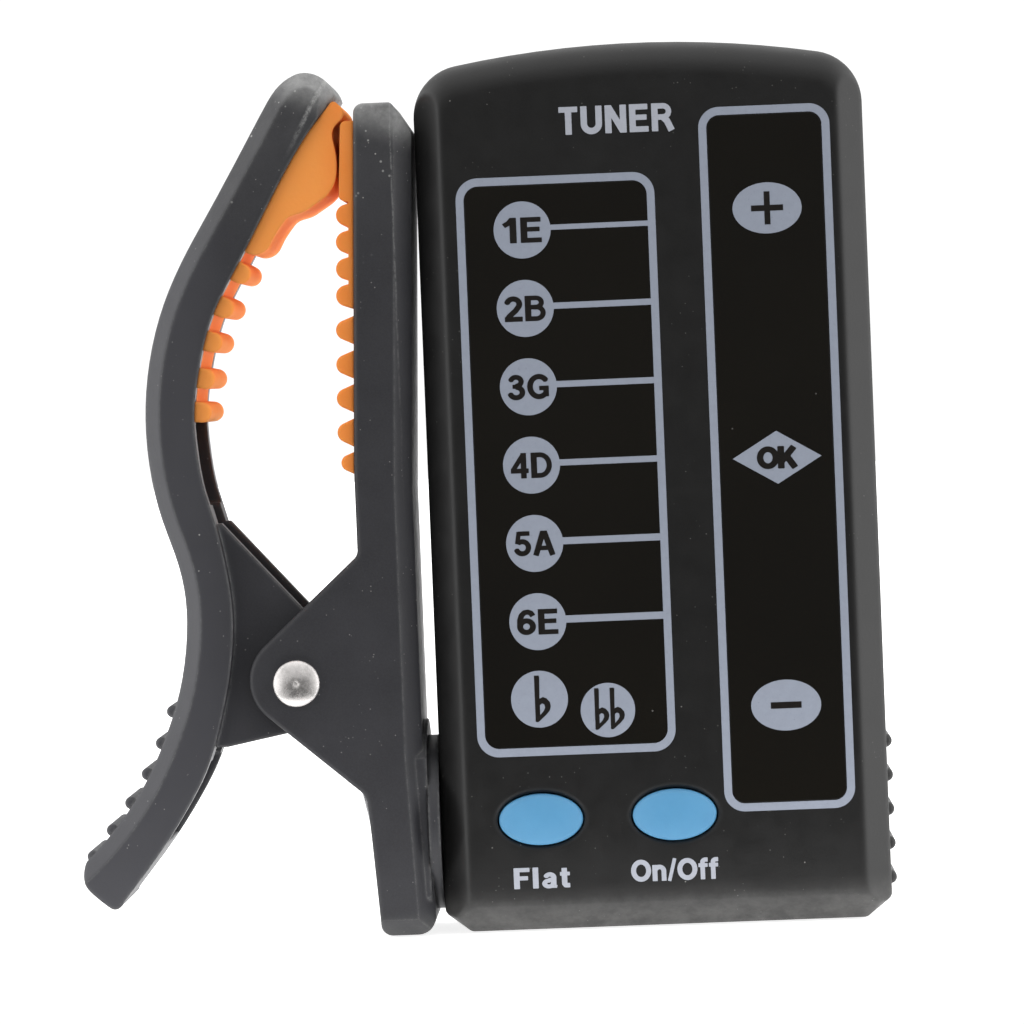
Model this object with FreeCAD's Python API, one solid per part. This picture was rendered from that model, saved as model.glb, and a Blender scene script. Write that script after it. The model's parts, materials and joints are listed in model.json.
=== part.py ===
"""Clip on tuner: a spring clamp with a round swivel, carrying an upright tuner case.

Frame: +Z up, tuner face towards -Y, +X to the right of the face, clamp on the
-X side.  The origin is the centre of the bounding box's base.
All lengths are millimetres.
"""
import FreeCAD, Part
import math
import os

V = FreeCAD.Vector
os.makedirs("parts", exist_ok=True)

# ------------------------------------------------------------------ driving dimensions
# The design axes have x = 0 on the case's centre line and y = 0 on the swivel axis.
SHIFT_X = 14.2261          # design x -> row x, puts the origin under the box centre
SHIFT_Y = 0.175

# tuner case
CASE_W = 36.0
CASE_H = 70.95
CASE_T = 14.4
CASE_WALL = 1.5
TOP_R = 83.0               # large arc of the top edge
TOP_CORNER_R = 4.2
FOOT_CH_X = 2.1            # cut-off bottom corners
FOOT_CH_Z = 1.6
FACE_CH = 2.1              # planar chamfers of the face's sides and foot
FACE_FILLET = 2.5
BACK_FILLET = 1.8
SEAM = 0.06                # half of the parting gap
TONGUE = 0.9

# lenses
STRING_WIN = (-14.15, 0.50, 14.80, 59.85)     # x0, x1, z0, z1
PITCH_WIN = (5.45, 14.60, 9.70, 64.75)
LENS_R = 1.0
LENS_T = 1.1
LENS_FIT = 0.05
LEDGE = 0.7

# push buttons
BTN_Z = 9.05
BTN_X = {"flat": -9.95, "power": 0.76}
BTN_A = 3.36               # half width
BTN_B = 2.05               # half height
BTN_PROUD = 0.80
BTN_GAP = 0.14
BTN_TRAVEL = 0.40

# board and fastenings
BOARD_Y0, BOARD_Y1 = -2.60, -1.60
CASE_SCREWS = [(-12.6, 66.6), (12.6, 66.6), (-12.2, 4.3), (12.2, 4.3)]
BOARD_SCREWS = [(2.95, 20.0), (2.95, 57.0)]

# coin cell, 20 mm by 3.2 mm
CELL_R, CELL_T = 10.0, 3.2
CELL_Z = 38.0
CELL_Y0 = 2.2
DOOR_X, DOOR_Z = 10.6, 11.0    # half sizes of the door opening

# swivel, axis along X
SWIVEL_Z = 8.64
BARREL_R = 7.07
BOSS_R = 8.4
NECK_R = 4.0
NECK_FIT = 0.05
HUB_FLANGE_R = 5.2
HUB_BORE_R = 0.75

# clamp
CLIP_W = 14.0
WALL = 1.5
BACK_WALL = 1.6
PIVOT_X, PIVOT_Z = -29.11, 20.68
SHAFT_R = 1.30
EAR_END_R = 3.77
EAR_GAP = 0.2              # side gap between the outer and the inner ears
EAR_T = 1.5
JAW_BACK_X = -19.28
CH_Y, CH_X = 1.3, 1.4      # chamfers along the jaws' backs
OPEN_DEG = 52.0

# torsion spring
WIRE_R = 0.5
COIL_R = 2.7
COIL_TURNS = 5.0
COIL_PITCH = 1.15

# pickup
LEAD_R = 0.40
DISC_R = 4.8


# ------------------------------------------------------------------ helpers
def xz(p, y=0.0):
    return V(p[0], y, p[1])


def rounded_wire(pts, y):
    """Closed wire in the XZ plane. Each point is (x, z) or (x, z, corner radius)."""
    n = len(pts)
    segs = []
    ends = []
    for i in range(n):
        p0 = V(pts[i - 1][0], y, pts[i - 1][1])
        p1 = V(pts[i][0], y, pts[i][1])
        p2 = V(pts[(i + 1) % n][0], y, pts[(i + 1) % n][1])
        r = pts[i][2] if len(pts[i]) > 2 else 0.0
        if r <= 0:
            ends.append((p1, p1, None))
            continue
        a = (p0 - p1).normalize()
        b = (p2 - p1).normalize()
        ang = math.acos(max(-1.0, min(1.0, a.dot(b))))
        t = r / math.tan(ang / 2.0)
        mid_dir = (a + b).normalize()
        c = p1 + mid_dir * (r / math.sin(ang / 2.0))
        q0, q2 = p1 + a * t, p1 + b * t
        qm = c - mid_dir * r
        ends.append((q0, q2, qm))
    for i in range(n):
        q0, q2, qm = ends[i]
        if qm is not None:
            segs.append(Part.Arc(q0, qm, q2).toShape())
        nxt = ends[(i + 1) % n][0]
        if (nxt - q2).Length > 1e-6:
            segs.append(Part.LineSegment(q2, nxt).toShape())
    return Part.Wire(Part.__sortEdges__(segs))


def prism(pts, y0, y1):
    w = rounded_wire(pts, y0)
    return Part.Face(w).extrude(V(0, y1 - y0, 0))


def box(x0, x1, y0, y1, z0, z1):
    return Part.makeBox(x1 - x0, y1 - y0, z1 - z0, V(x0, y0, z0))


def cyl_y(x, z, r, y0, y1):
    return Part.makeCylinder(r, y1 - y0, V(x, y0, z), V(0, 1, 0))


def cyl_x(x0, x1, y, z, r):
    return Part.makeCylinder(r, x1 - x0, V(x0, y, z), V(1, 0, 0))


def solid_of(s):
    s = s.removeSplitter()
    if s.ShapeType != "Solid" and len(s.Solids) == 1:
        return s.Solids[0]
    return s


def spline_edge(pts, y):
    c = Part.BSplineCurve()
    c.interpolate([V(p[0], y, p[1]) for p in pts])
    return c.toShape()


def offset_line(pts, d):
    """Points moved by d to the left of the direction of travel in the XZ plane."""
    out = []
    n = len(pts)
    for i, p in enumerate(pts):
        a = pts[max(0, i - 1)]
        b = pts[min(n - 1, i + 1)]
        dx, dz = b[0] - a[0], b[1] - a[1]
        L = math.hypot(dx, dz)
        out.append((p[0] - dz / L * d, p[1] + dx / L * d))
    return out


PARTS = {}


def keep(name, shape):
    shape = solid_of(shape)
    shape = shape.copy()
    shape.translate(V(SHIFT_X, SHIFT_Y, 0))
    PARTS[name] = shape
    ok = shape.isValid()
    print("%-28s solids %d  volume %9.3f  valid %s" % (name, len(shape.Solids), shape.Volume, ok))
    shape.exportStep("parts/%s.step" % name)


# ------------------------------------------------------------------ fixed jaw
HW = CLIP_W / 2.0
FJ_OUTLINE = [
    (-22.72, 66.90, 0.8), (-19.72, 66.90, 0.5), (-18.20, 64.55, 0.6),
    (-19.28, 36.0, 30.0), (-19.28, 14.0, 40.0), (-18.66, 0.0, 1.5),
    (-23.05, 0.0, 0.9), (-23.60, 8.0, 8.0), (-23.88, 11.38, 1.6),
    (-34.83, 20.86, EAR_END_R), (-23.82, 30.76, 0.9), (-23.83, 37.60, 60.0),
]


def edges_on(shape, y, test):
    out = []
    for e in shape.Edges:
        bb = e.BoundBox
        if abs(bb.YMin - y) < 1e-4 and abs(bb.YMax - y) < 1e-4:
            m = e.valueAt((e.FirstParameter + e.LastParameter) / 2.0)
            if test(m):
                out.append(e)
    return out


def chamfer_back(shape, test):
    """Chamfer the two back edges of a jaw: CH_Y along the width, CH_X in depth."""
    es = edges_on(shape, -HW, test) + edges_on(shape, HW, test)
    return shape.makeChamfer((CH_X + CH_Y) / 2.0, es)


def soften(shape, r, es):
    try:
        s = shape.makeFillet(r, es)
        if s.isValid():
            return s
    except Exception as err:
        print("   fillet skipped:", err)
    return shape


# blank with sharp back corners, so that the chamfers meet in mitres
SHARP = {(-19.72, 66.90), (-18.20, 64.55), (-19.28, 36.0), (-19.28, 14.0), (-18.66, 0.0), (-23.05, 0.0)}
FJ_BLANK = [(p[0], p[1]) if (p[0], p[1]) in SHARP else p for p in FJ_OUTLINE]
FJ_BLANK[1:3] = [(-18.11, 66.90)]        # the back chamfers run straight up; the slanted corner is cut afterwards
fj = prism(FJ_BLANK, -HW, HW)


def back_test(m):
    return (m.x > -19.9 and m.z < 66.8) or m.z < 0.01


fj = chamfer_back(fj, back_test)
print("jaw chamfer valid", fj.isValid(), round(fj.Volume, 1))
inner_edges = [e for e in edges_on(fj, -HW, lambda m: True) + edges_on(fj, HW, lambda m: True)
               if e.valueAt((e.FirstParameter + e.LastParameter) / 2).x < -22.6
               and e.valueAt((e.FirstParameter + e.LastParameter) / 2).z > 2.0]
fj = soften(fj, 0.30, inner_edges)
top_edges = [e for e in edges_on(fj, -HW, lambda m: m.z > 66.8) + edges_on(fj, HW, lambda m: m.z > 66.8)]
fj = soften(fj, 0.30, top_edges)
# rounded corners seen from the side
fj = fj.common(prism(FJ_OUTLINE, -HW - 1, HW + 1))

# the open channel: everything between the side walls, in front of the back wall
FJ_CHANNEL = [(-40.0, 65.3), (-20.9, 65.3), (-19.66, 64.0, 1.0), (-20.88, 36.2, 30.0),
              (-20.88, 14.2, 40.0), (-20.45, 1.6, 1.0), (-40.0, 1.6)]
chan = prism(FJ_CHANNEL, -(HW - WALL), HW - WALL)
# floor of the foot stays below z = 1.6; the ears stay as plates
fj_box = box(-40, -24.05, -(HW - WALL), HW - WALL, -1, 80)
fj = fj.cut(chan).cut(fj_box)
# spring seat: a low rib inside the foot that the fixed leg bears on
seat_rib = box(-22.22, -20.0, 1.9, 3.9, 3.4, 5.2)
fj = fj.fuse(seat_rib.common(box(-30, -20.2, -9, 9, 0, 70)))
# two cross ribs that stiffen the channel behind the pad's lower end
rib_lo = box(-22.3, -20.0, -(HW - WALL), HW - WALL, 35.6, 36.4).cut(box(-30, -20, -1.0, 1.0, 30, 40))
fj = fj.fuse(rib_lo)
# swivel boss on the back
boss = cyl_x(JAW_BACK_X - 0.9, JAW_BACK_X + 0.30, 0, SWIVEL_Z, BOSS_R)
boss = boss.common(box(-22, -15, -(HW - 0.75), HW - 0.75, 0.6, 30))
fj = fj.fuse(boss)
# bores: pivot, lead and hub screws
for s in (-1, 1):
    fj = fj.cut(cyl_y(PIVOT_X, PIVOT_Z, SHAFT_R + 0.02, -9, 9))
fj = fj.cut(cyl_x(-23, -18, 0, SWIVEL_Z, HUB_BORE_R))
HUB_SCREW_Y = 2.6
HUB_SCREW_R = 0.6
for s in (-1, 1):
    fj = fj.cut(cyl_x(-23, -18, s * HUB_SCREW_Y, SWIVEL_Z, HUB_SCREW_R + 0.05))
keep("fixed_jaw", fj)
fixed_jaw = solid_of(fj)

# ------------------------------------------------------------------ moving jaw
MJ_OUT = [(-27.50, 69.38), (-28.78, 68.50), (-29.98, 66.80), (-31.88, 63.54), (-34.66, 58.85), (-37.41, 54.16),
          (-38.82, 51.01), (-39.77, 47.85), (-40.32, 44.67), (-40.49, 41.20), (-40.18, 37.46),
          (-39.49, 34.23), (-38.45, 30.98), (-37.90, 28.20), (-37.84, 25.50), (-38.10, 22.96),
          (-38.80, 19.79), (-40.00, 16.50), (-41.45, 13.48), (-43.35, 10.60), (-46.72, 6.89)]
MJ_IN = [(-43.75, 3.62), (-42.83, 4.74), (-40.39, 7.84), (-38.29, 10.96), (-36.58, 14.09), (-35.38, 17.65),
         (-34.66, 20.58), (-34.17, 23.70), (-34.06, 27.20), (-34.45, 30.40), (-35.22, 34.06),
         (-35.94, 36.70), (-36.36, 39.71), (-36.46, 42.60), (-36.12, 45.18), (-35.56, 47.72),
         (-34.75, 50.20), (-33.34, 52.96), (-31.84, 55.54), (-30.10, 58.70), (-28.34, 61.80), (-24.62, 67.00)]


def moving_outline(y):
    es = [spline_edge(MJ_OUT, y)]
    tip = [(-46.72, 6.89), (-46.92, 6.05), (-46.74, 5.08), (-46.02, 4.20), (-45.02, 3.34), (-44.50, 3.06), (-44.05, 3.18), (-43.75, 3.62)]
    es.append(spline_edge(tip, y))
    es.append(spline_edge(MJ_IN, y))
    top = [(-24.62, 67.00), (-24.22, 67.62), (-24.72, 68.66), (-26.30, 69.55), MJ_OUT[0]]
    es.append(Part.LineSegment(xz(top[0], y), xz(top[1], y)).toShape())
    es.append(spline_edge(top[1:], y))
    return Part.Wire(es)


mj = Part.Face(moving_outline(-HW)).extrude(V(0, 2 * HW, 0))


def outer_test(m):
    # the outer spline and nothing else
    best = min(math.hypot(m.x - p[0], m.z - p[1]) for p in MJ_OUT)
    inner = min(math.hypot(m.x - p[0], m.z - p[1]) for p in MJ_IN)
    return best < inner and m.z > 6.9


mj_out_edges = [e for e in edges_on(mj, -HW, lambda m: True) + edges_on(mj, HW, lambda m: True)
                if e.Length > 60 and e.BoundBox.XMin < -46.5 and e.BoundBox.ZMax > 69.0]
print("moving jaw outer edges", [round(e.Length, 1) for e in mj_out_edges])
try:
    t = mj.makeChamfer((CH_X + CH_Y) / 2.0 - 0.1, mj_out_edges)
    if t.isValid():
        mj = t
    else:
        print("   moving jaw chamfer not valid")
except Exception as err:
    print("   moving jaw chamfer skipped:", err)
inn = [e for e in edges_on(mj, -HW, lambda m: True) + edges_on(mj, HW, lambda m: True)
       if e.Length > 60 and e.BoundBox.XMin > -44.5]
mj = soften(mj, 0.30, inn)

# channel: between the side walls and in front of the back wall
back_in = offset_line(MJ_OUT, 0.0)
inner_back = []
for i, p in enumerate(MJ_OUT[2:-1]):
    a = MJ_OUT[i + 1]
    b = MJ_OUT[i + 3]
    dx, dz = b[0] - a[0], b[1] - a[1]
    L = math.hypot(dx, dz)
    inner_back.append((p[0] - dz / L * BACK_WALL, p[1] + dx / L * BACK_WALL))
inner_back = [(q[0], q[1]) for q in inner_back if q[1] < 66.4 and q[1] > 7.6]


def channel_face(y):
    es = [spline_edge(inner_back, y)]
    a, b = inner_back[0], inner_back[-1]
    rim = [b, (b[0] + 6.0, b[1] - 4.7), (-20.0, 4.0), (-20.0, a[1]), a]
    for p, q in zip(rim[:-1], rim[1:]):
        es.append(Part.LineSegment(xz(p, y), xz(q, y)).toShape())
    return Part.Face(Part.Wire(es))


EAR_OUT = HW - WALL - EAR_GAP            # outer face of the inner ears
EAR_IN = EAR_OUT - EAR_T                 # inner face of the inner ears
wide = channel_face(-(HW - WALL)).extrude(V(0, 2 * (HW - WALL), 0))
wide = wide.cut(box(-60, 0, -9, 9, 14.6, 35.2))
narrow = channel_face(-EAR_IN).extrude(V(0, 2 * EAR_IN, 0))
mj = mj.cut(wide).cut(narrow)
# inner ears
EAR = [(-36.9, 33.0), (-36.2, 35.0), (-35.22, 34.20), (-21.2, 18.28, 4.09), (-35.0, 15.65), (-38.0, 15.65), (-37.0, 24.0)]
EAR_SHAPE = [(-36.3, 33.6), (-34.76, 33.69), (-21.2, 18.28, 4.09), (-34.96, 15.68), (-37.6, 15.68), (-37.0, 24.0)]
for s in (-1, 1):
    y0, y1 = (EAR_IN, EAR_OUT) if s > 0 else (-EAR_OUT, -EAR_IN)
    ear = prism(EAR_SHAPE, y0, y1)
    mj = mj.fuse(ear)
mj = mj.cut(cyl_y(PIVOT_X, PIVOT_Z, SHAFT_R + 0.06, -9, 9))
# thumb ribs: half round bars across the lever
LEVER_RIBS = [(-39.33, 18.71), (-40.34, 16.18), (-41.58, 13.75), (-43.01, 11.47), (-44.59, 9.32), (-46.23, 7.25)]
RIB_R = 0.50
RIB_PROUD = 0.70
ribs = []
for p in LEVER_RIBS:
    # the rib's centre line stands proud of the lever's outer face along its normal
    k = min(range(len(MJ_OUT)), key=lambda i: math.hypot(p[0] - MJ_OUT[i][0], p[1] - MJ_OUT[i][1]))
    k = min(max(k, 1), len(MJ_OUT) - 2)
    a, b = MJ_OUT[k - 1], MJ_OUT[k + 1]
    dx, dz = b[0] - a[0], b[1] - a[1]
    L = math.hypot(dx, dz)
    nx, nz = dz / L, -dx / L            # outward normal
    if nx > 0:
        nx, nz = -nx, -nz
    c = (p[0] - nx * 0.02, p[1] - nz * 0.02)
    bar = cyl_y(c[0], c[1], RIB_R, -5.35, 5.35)
    bar = soften(bar, 0.32, [e for e in bar.Edges if abs(e.BoundBox.YMin - e.BoundBox.YMax) < 1e-5])
    root = prism([(c[0] + nz * RIB_R, c[1] - nx * RIB_R), (c[0] - nz * RIB_R, c[1] + nx * RIB_R),
                  (c[0] - nz * RIB_R - nx * 1.4, c[1] + nx * RIB_R - nz * 1.4),
                  (c[0] + nz * RIB_R - nx * 1.4, c[1] - nx * RIB_R - nz * 1.4)], -5.03, 5.03)
    ribs.append(bar.fuse(root))
for r in ribs:
    mj = mj.fuse(r)
# spring seat inside the lever
keep("moving_jaw", mj)
moving_jaw = solid_of(mj)

# ------------------------------------------------------------------ pivot rivet
HEAD_R, HEAD_H = 1.87, 0.85
shaft = cyl_y(PIVOT_X, PIVOT_Z, SHAFT_R, -HW, HW)
head = cyl_y(PIVOT_X, PIVOT_Z, HEAD_R, -HW - HEAD_H, -HW)
head = soften(head, 0.62, [e for e in head.Edges if e.BoundBox.YMax < -HW - HEAD_H + 0.01])
crown_r = (HEAD_R ** 2 + 0.45 ** 2) / (2 * 0.45)
crown = Part.makeSphere(crown_r, V(PIVOT_X, -HW - HEAD_H + crown_r, PIVOT_Z))
head = head.common(crown)
head = head.cut(Part.makeSphere(0.42, V(PIVOT_X, -HW - HEAD_H - 0.30, PIVOT_Z)))
# the other end is rolled over against the far ear, with a hollow in its middle
tail = cyl_y(PIVOT_X, PIVOT_Z, 1.85, HW, HW + 0.65)
tail = soften(tail, 0.45, [e for e in tail.Edges if e.BoundBox.YMin > HW + 0.64])
tail = tail.cut(Part.makeCone(0.55, 0.95, 0.7, V(PIVOT_X, HW + 0.0, PIVOT_Z), V(0, 1, 0)))
rivet = shaft.fuse(head).fuse(tail).cut(cyl_y(PIVOT_X, PIVOT_Z, 0.55, HW - 2.0, HW + 2))
keep("pivot_rivet", rivet)

# ------------------------------------------------------------------ torsion spring
def tangent_leg(px, pz, side):
    """Tangent point on the coil circle for a leg that ends at (px, pz)."""
    dx, dz = px - PIVOT_X, pz - PIVOT_Z
    D = math.hypot(dx, dz)
    base = math.atan2(dz, dx)
    a = math.acos(COIL_R / D)
    t = base + side * a
    return (PIVOT_X + COIL_R * math.cos(t), PIVOT_Z + COIL_R * math.sin(t)), t


fixed_end = (-22.78, 4.20)
move_end = (-40.20, 11.85)
tp_f, ang_f = tangent_leg(fixed_end[0], fixed_end[1], +1)
tp_m, ang_m = tangent_leg(move_end[0], move_end[1], -1)
# the coil runs from the fixed leg (far side, +Y) to the moving leg (near side, -Y)
sweep_deg = (math.degrees(ang_m - ang_f)) % 360.0
turns = 4 + sweep_deg / 360.0
length = turns * COIL_PITCH
coil_y0 = length / 2.0
print("spring: fixed tangent angle %.1f, moving %.1f, turns %.3f" % (math.degrees(ang_f), math.degrees(ang_m), turns))


def make_coil(start_deg, n_turns, y_start, direction):
    """Helix round the pivot from y_start towards -Y; direction +1 turns from +X to +Z."""
    h = Part.makeHelix(COIL_PITCH, n_turns * COIL_PITCH, COIL_R)
    # helix local: axis +Z, starts at angle 0, turns +X to +Y
    prof_c = V(COIL_R, 0, 0)
    tan = V(0, 2 * math.pi * COIL_R, COIL_PITCH).normalize()
    prof = Part.Wire([Part.Circle(prof_c, tan, WIRE_R).toShape()])
    pipe = Part.Wire(h.Edges).makePipeShell([prof], True, True)
    return pipe


coil = make_coil(0, turns, 0, 1)
# local axes: helix axis z -> -Y ; local x -> X ; local y -> Z  (right handed: X x Z = -Y)
m = FreeCAD.Matrix()
m.A11, m.A12, m.A13, m.A14 = 1, 0, 0, PIVOT_X
m.A21, m.A22, m.A23, m.A24 = 0, 0, -1, coil_y0
m.A31, m.A32, m.A33, m.A34 = 0, 1, 0, PIVOT_Z
rot0 = FreeCAD.Matrix()
rot0.rotateZ(ang_f)
coil.transformShape(rot0)
coil.transformShape(m)


def leg(tp, end, y):
    a = V(tp[0], y, tp[1])
    b = V(end[0], y, end[1])
    d = (b - a)
    c = Part.makeCylinder(WIRE_R, d.Length, a, d)
    return c.fuse(Part.makeSphere(WIRE_R, b))


legs = [leg(tp_f, fixed_end, coil_y0), leg(tp_m, move_end, coil_y0 - length)]
spring = coil
for l in legs:
    joint = Part.makeSphere(WIRE_R, V(l.BoundBox.Center))
    spring = spring.fuse(l)
for tp, y in ((tp_f, coil_y0), (tp_m, coil_y0 - length)):
    spring = spring.fuse(Part.makeSphere(WIRE_R, V(tp[0], y, tp[1])))
keep("torsion_spring", spring)

# ------------------------------------------------------------------ grip pads
PAD_HW = 6.45
PLUG_HW = HW - WALL - 0.08
PLUG_T = 1.15
# moving pad: nose at the tip, plug in the channel, five round teeth
NOSE = [(-24.70, 66.85), (-24.22, 67.12), (-23.78, 66.72), (-23.52, 66.25), (-23.62, 65.86), (-24.12, 65.35), (-24.46, 64.85),
        (-24.52, 64.25), (-24.36, 63.40), (-24.26, 61.80), (-24.52, 60.55), (-25.28, 59.55), (-26.22, 58.92),
        (-27.17, 58.38), (-28.30, 58.02), (-28.84, 57.46), (-29.60, 56.36), (-30.03, 55.62), (-30.70, 55.20),
        (-31.88, 55.45)]


def nose_face(y):
    es = [spline_edge(NOSE, y)]
    back = [NOSE[-1], (-31.95, 55.9), (-30.4, 58.9), (-28.6, 62.1), NOSE[0]]
    for p, q in zip(back[:-1], back[1:]):
        es.append(Part.LineSegment(xz(p, y), xz(q, y)).toShape())
    return Part.Face(Part.Wire(es))


nose = nose_face(-PAD_HW).extrude(V(0, 2 * PAD_HW, 0))
plug_edge = [p for p in MJ_IN if p[1] > 41.9]
plug_edge[0] = (-36.45, 42.0)


def plug_pts():
    n = len(plug_edge)
    back = []
    for i, p in enumerate(plug_edge):
        a = plug_edge[max(0, i - 1)]
        b = plug_edge[min(n - 1, i + 1)]
        dx, dz = b[0] - a[0], b[1] - a[1]
        L = math.hypot(dx, dz)
        back.append((p[0] - dz / L * PLUG_T, p[1] + dx / L * PLUG_T))
    return back


def plug_face(y):
    back = plug_pts()
    back[-1] = (back[-1][0] + 0.55, back[-1][1] - 0.75)
    es = [spline_edge(plug_edge, y), spline_edge(back, y),
          Part.LineSegment(xz(plug_edge[0], y), xz(back[0], y)).toShape(),
          Part.LineSegment(xz(plug_edge[-1], y), xz(back[-1], y)).toShape()]
    return Part.Face(Part.Wire(Part.__sortEdges__(es)))


# the plug fills the channel as far as the channel goes, and the nose wraps the solid tip beyond it
plug = plug_face(-PLUG_HW).extrude(V(0, 2 * PLUG_HW, 0)).common(wide)
mpad = nose.cut(moving_jaw).fuse(plug)
M_TEETH = [((-31.60, 53.29), 0), ((-33.03, 50.62), 0), ((-34.04, 48.02), 0), ((-34.72, 45.20), 0), ((-35.10, 42.62), 0)]
TOOTH_R = 0.82


def nearest_on(edge_pts, p):
    best = None
    for a, b in zip(edge_pts[:-1], edge_pts[1:]):
        dx, dz = b[0] - a[0], b[1] - a[1]
        L2 = dx * dx + dz * dz
        t = max(0.0, min(1.0, ((p[0] - a[0]) * dx + (p[1] - a[1]) * dz) / L2))
        q = (a[0] + dx * t, a[1] + dz * t)
        d = math.hypot(p[0] - q[0], p[1] - q[1])
        if best is None or d < best[0]:
            best = (d, q)
    return best[1]


def tooth(tip, edge_pts, r, hw, deep=0.9, foot=None):
    # a round tip of radius r on a block; with foot, its sides flare to that half width at the jaw's edge
    q = nearest_on(edge_pts, tip)
    dx, dz = tip[0] - q[0], tip[1] - q[1]
    L = math.hypot(dx, dz)
    ux, uz = dx / L, dz / L
    c = (tip[0] - ux * r, tip[1] - uz * r)
    s = cyl_y(c[0], c[1], r, -hw, hw)
    base = (q[0] - ux * deep, q[1] - uz * deep)
    if foot is None:
        b = prism([(c[0] + uz * r, c[1] - ux * r), (c[0] - uz * r, c[1] + ux * r),
                   (base[0] - uz * r, base[1] + ux * r), (base[0] + uz * r, base[1] - ux * r)], -hw, hw)
    else:
        # tangent from the foot's corner to the tip's circle, in (along, across)
        va, vw = -(L - r), foot
        d2 = va * va + vw * vw
        k = math.sqrt(d2 - r * r)
        na, nw = (r * va + k * vw) / d2, (r * vw - k * va) / d2
        ta, tw = (L - r) + r * na, r * nw

        def at(along, across):
            return (q[0] + ux * along - uz * across, q[1] + uz * along + ux * across)
        b = prism([at(ta, tw), at(0, foot), at(-deep, foot), at(-deep, -foot), at(0, -foot), at(ta, -tw)], -hw, hw)
    s = s.fuse(b).removeSplitter()
    return soften(s, 0.22, [e for e in s.Edges if abs(abs(e.BoundBox.YMin) - hw) < 1e-4 and abs(e.BoundBox.YMin - e.BoundBox.YMax) < 1e-4])


for tip, _ in M_TEETH:
    mpad = mpad.fuse(tooth(tip, plug_edge, TOOTH_R, PAD_HW).cut(moving_jaw))
sol = sorted(mpad.Solids, key=lambda s: -s.Volume)
print("moving pad solids", [round(s.Volume, 2) for s in sol], "left in the jaw", round(sol[0].common(moving_jaw).Volume, 4))
keep("moving_jaw_pad", sol[0])
moving_pad = sol[0]

# fixed pad: smooth block at the top, four small and five large teeth
FJ_EDGE = [(-23.83, 36.0), (-23.83, 37.60), (-22.72, 66.90)]


def fj_edge_x(z):
    if z < 37.6:
        return -23.83
    return -23.83 + (z - 37.6) * (1.11 / 29.3)


F_PLUG = [(fj_edge_x(37.15), 37.15), (fj_edge_x(65.2), 65.2), (fj_edge_x(65.2) + PLUG_T, 65.2), (fj_edge_x(37.15) + PLUG_T, 37.15)]
fpad = prism(F_PLUG, -PLUG_HW, PLUG_HW)
F_BLOCK = [(fj_edge_x(65.55) + 0.25, 65.55), (-23.83, 65.55, 0.45), (-24.12, 60.4), (-24.16, 59.30, 0.3), (fj_edge_x(59.3) - 0.42, 59.05),
           (fj_edge_x(50.6) - 0.42, 50.60, 0.2), (fj_edge_x(50.45) + 0.25, 50.45)]
fpad = fpad.fuse(prism(F_BLOCK, -PAD_HW, PAD_HW))
F_EDGE = [(fj_edge_x(36.9), 36.9), (fj_edge_x(66), 66)]
for zc, xt in ((58.06, -24.47), (55.91, -24.56), (53.76, -24.64), (51.61, -24.72)):
    fpad = fpad.fuse(tooth((xt, zc), F_EDGE, 0.86, PAD_HW, 0.9, 1.08))
for zc, xt, r, foot in ((48.86, -24.84, 0.80, 1.15), (46.10, -24.93, 0.80, 1.15), (43.39, -25.00, 0.80, 1.15), (40.64, -25.05, 0.80, 1.15),
                        (38.20, -24.84, 0.66, 0.90)):
    fpad = fpad.fuse(tooth((xt, zc), F_EDGE, r, PAD_HW, 0.9, foot))
fpad = fpad.cut(fixed_jaw)
sol = sorted(fpad.Solids, key=lambda s: -s.Volume)
print("fixed pad solids", [round(s.Volume, 2) for s in sol])
keep("fixed_jaw_pad", sol[0])
fixed_pad = sol[0]

# ------------------------------------------------------------------ pickup behind the fixed pad
TILT = math.atan2(1.11, 29.3)
DISC_Z = 46.0
disc_x = fj_edge_x(DISC_Z) + PLUG_T + 0.02


def tilted_disc(r, off, t, z=DISC_Z):
    d = Part.makeCylinder(r, t, V(0, 0, 0), V(math.cos(TILT), 0, -math.sin(TILT)))
    d.translate(V(disc_x + off * math.cos(TILT), 0, z - off * math.sin(TILT)))
    return d


keep("piezo_disc", tilted_disc(DISC_R, 0.0, 0.25))
keep("piezo_ceramic", tilted_disc(3.2, 0.27, 0.25))

# lead: down the jaw's channel, then into the swivel's bore
def arc_path(points, radii):
    """Runs joined by tangent arcs; returns a wire."""
    es = []
    P = [V(*p) for p in points]
    cur = P[0]
    for i in range(1, len(P) - 1):
        a = (P[i - 1] - P[i]).normalize()
        b = (P[i + 1] - P[i]).normalize()
        ang = math.acos(max(-1.0, min(1.0, a.dot(b))))
        r = radii[i - 1]
        t = r / math.tan(ang / 2.0)
        md = (a + b).normalize()
        c = P[i] + md * (r / math.sin(ang / 2.0))
        q0, q2, qm = P[i] + a * t, P[i] + b * t, c - md * r
        if (q0 - cur).Length > 1e-6:
            es.append(Part.LineSegment(cur, q0).toShape())
        es.append(Part.Arc(q0, qm, q2).toShape())
        cur = q2
    es.append(Part.LineSegment(cur, P[-1]).toShape())
    return Part.Wire(es)


def tube(points, radii, r):
    w = arc_path(points, radii)
    d = (V(*points[1]) - V(*points[0])).normalize()
    prof = Part.Wire([Part.Circle(V(*points[0]), d, r).toShape()])
    s = w.makePipeShell([prof], True, False)
    print("lead length %.2f, volume %.3f, section x length %.3f, radii %s" % (w.Length, s.Volume, w.Length * math.pi * r * r, radii))
    return s


LEAD_X = -22.95
lead_pts = [(disc_x + 1.05, 0, 47.2), (disc_x + 1.05, 0, 41.0), (LEAD_X + 0.25, 0, 31.5), (LEAD_X, 0, 21.5), (LEAD_X, 0, SWIVEL_Z), (-15.0, 0, SWIVEL_Z)]
keep("pickup_lead", tube(lead_pts, [12.0, 25.0, 60.0, 2.05], LEAD_R))

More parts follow.
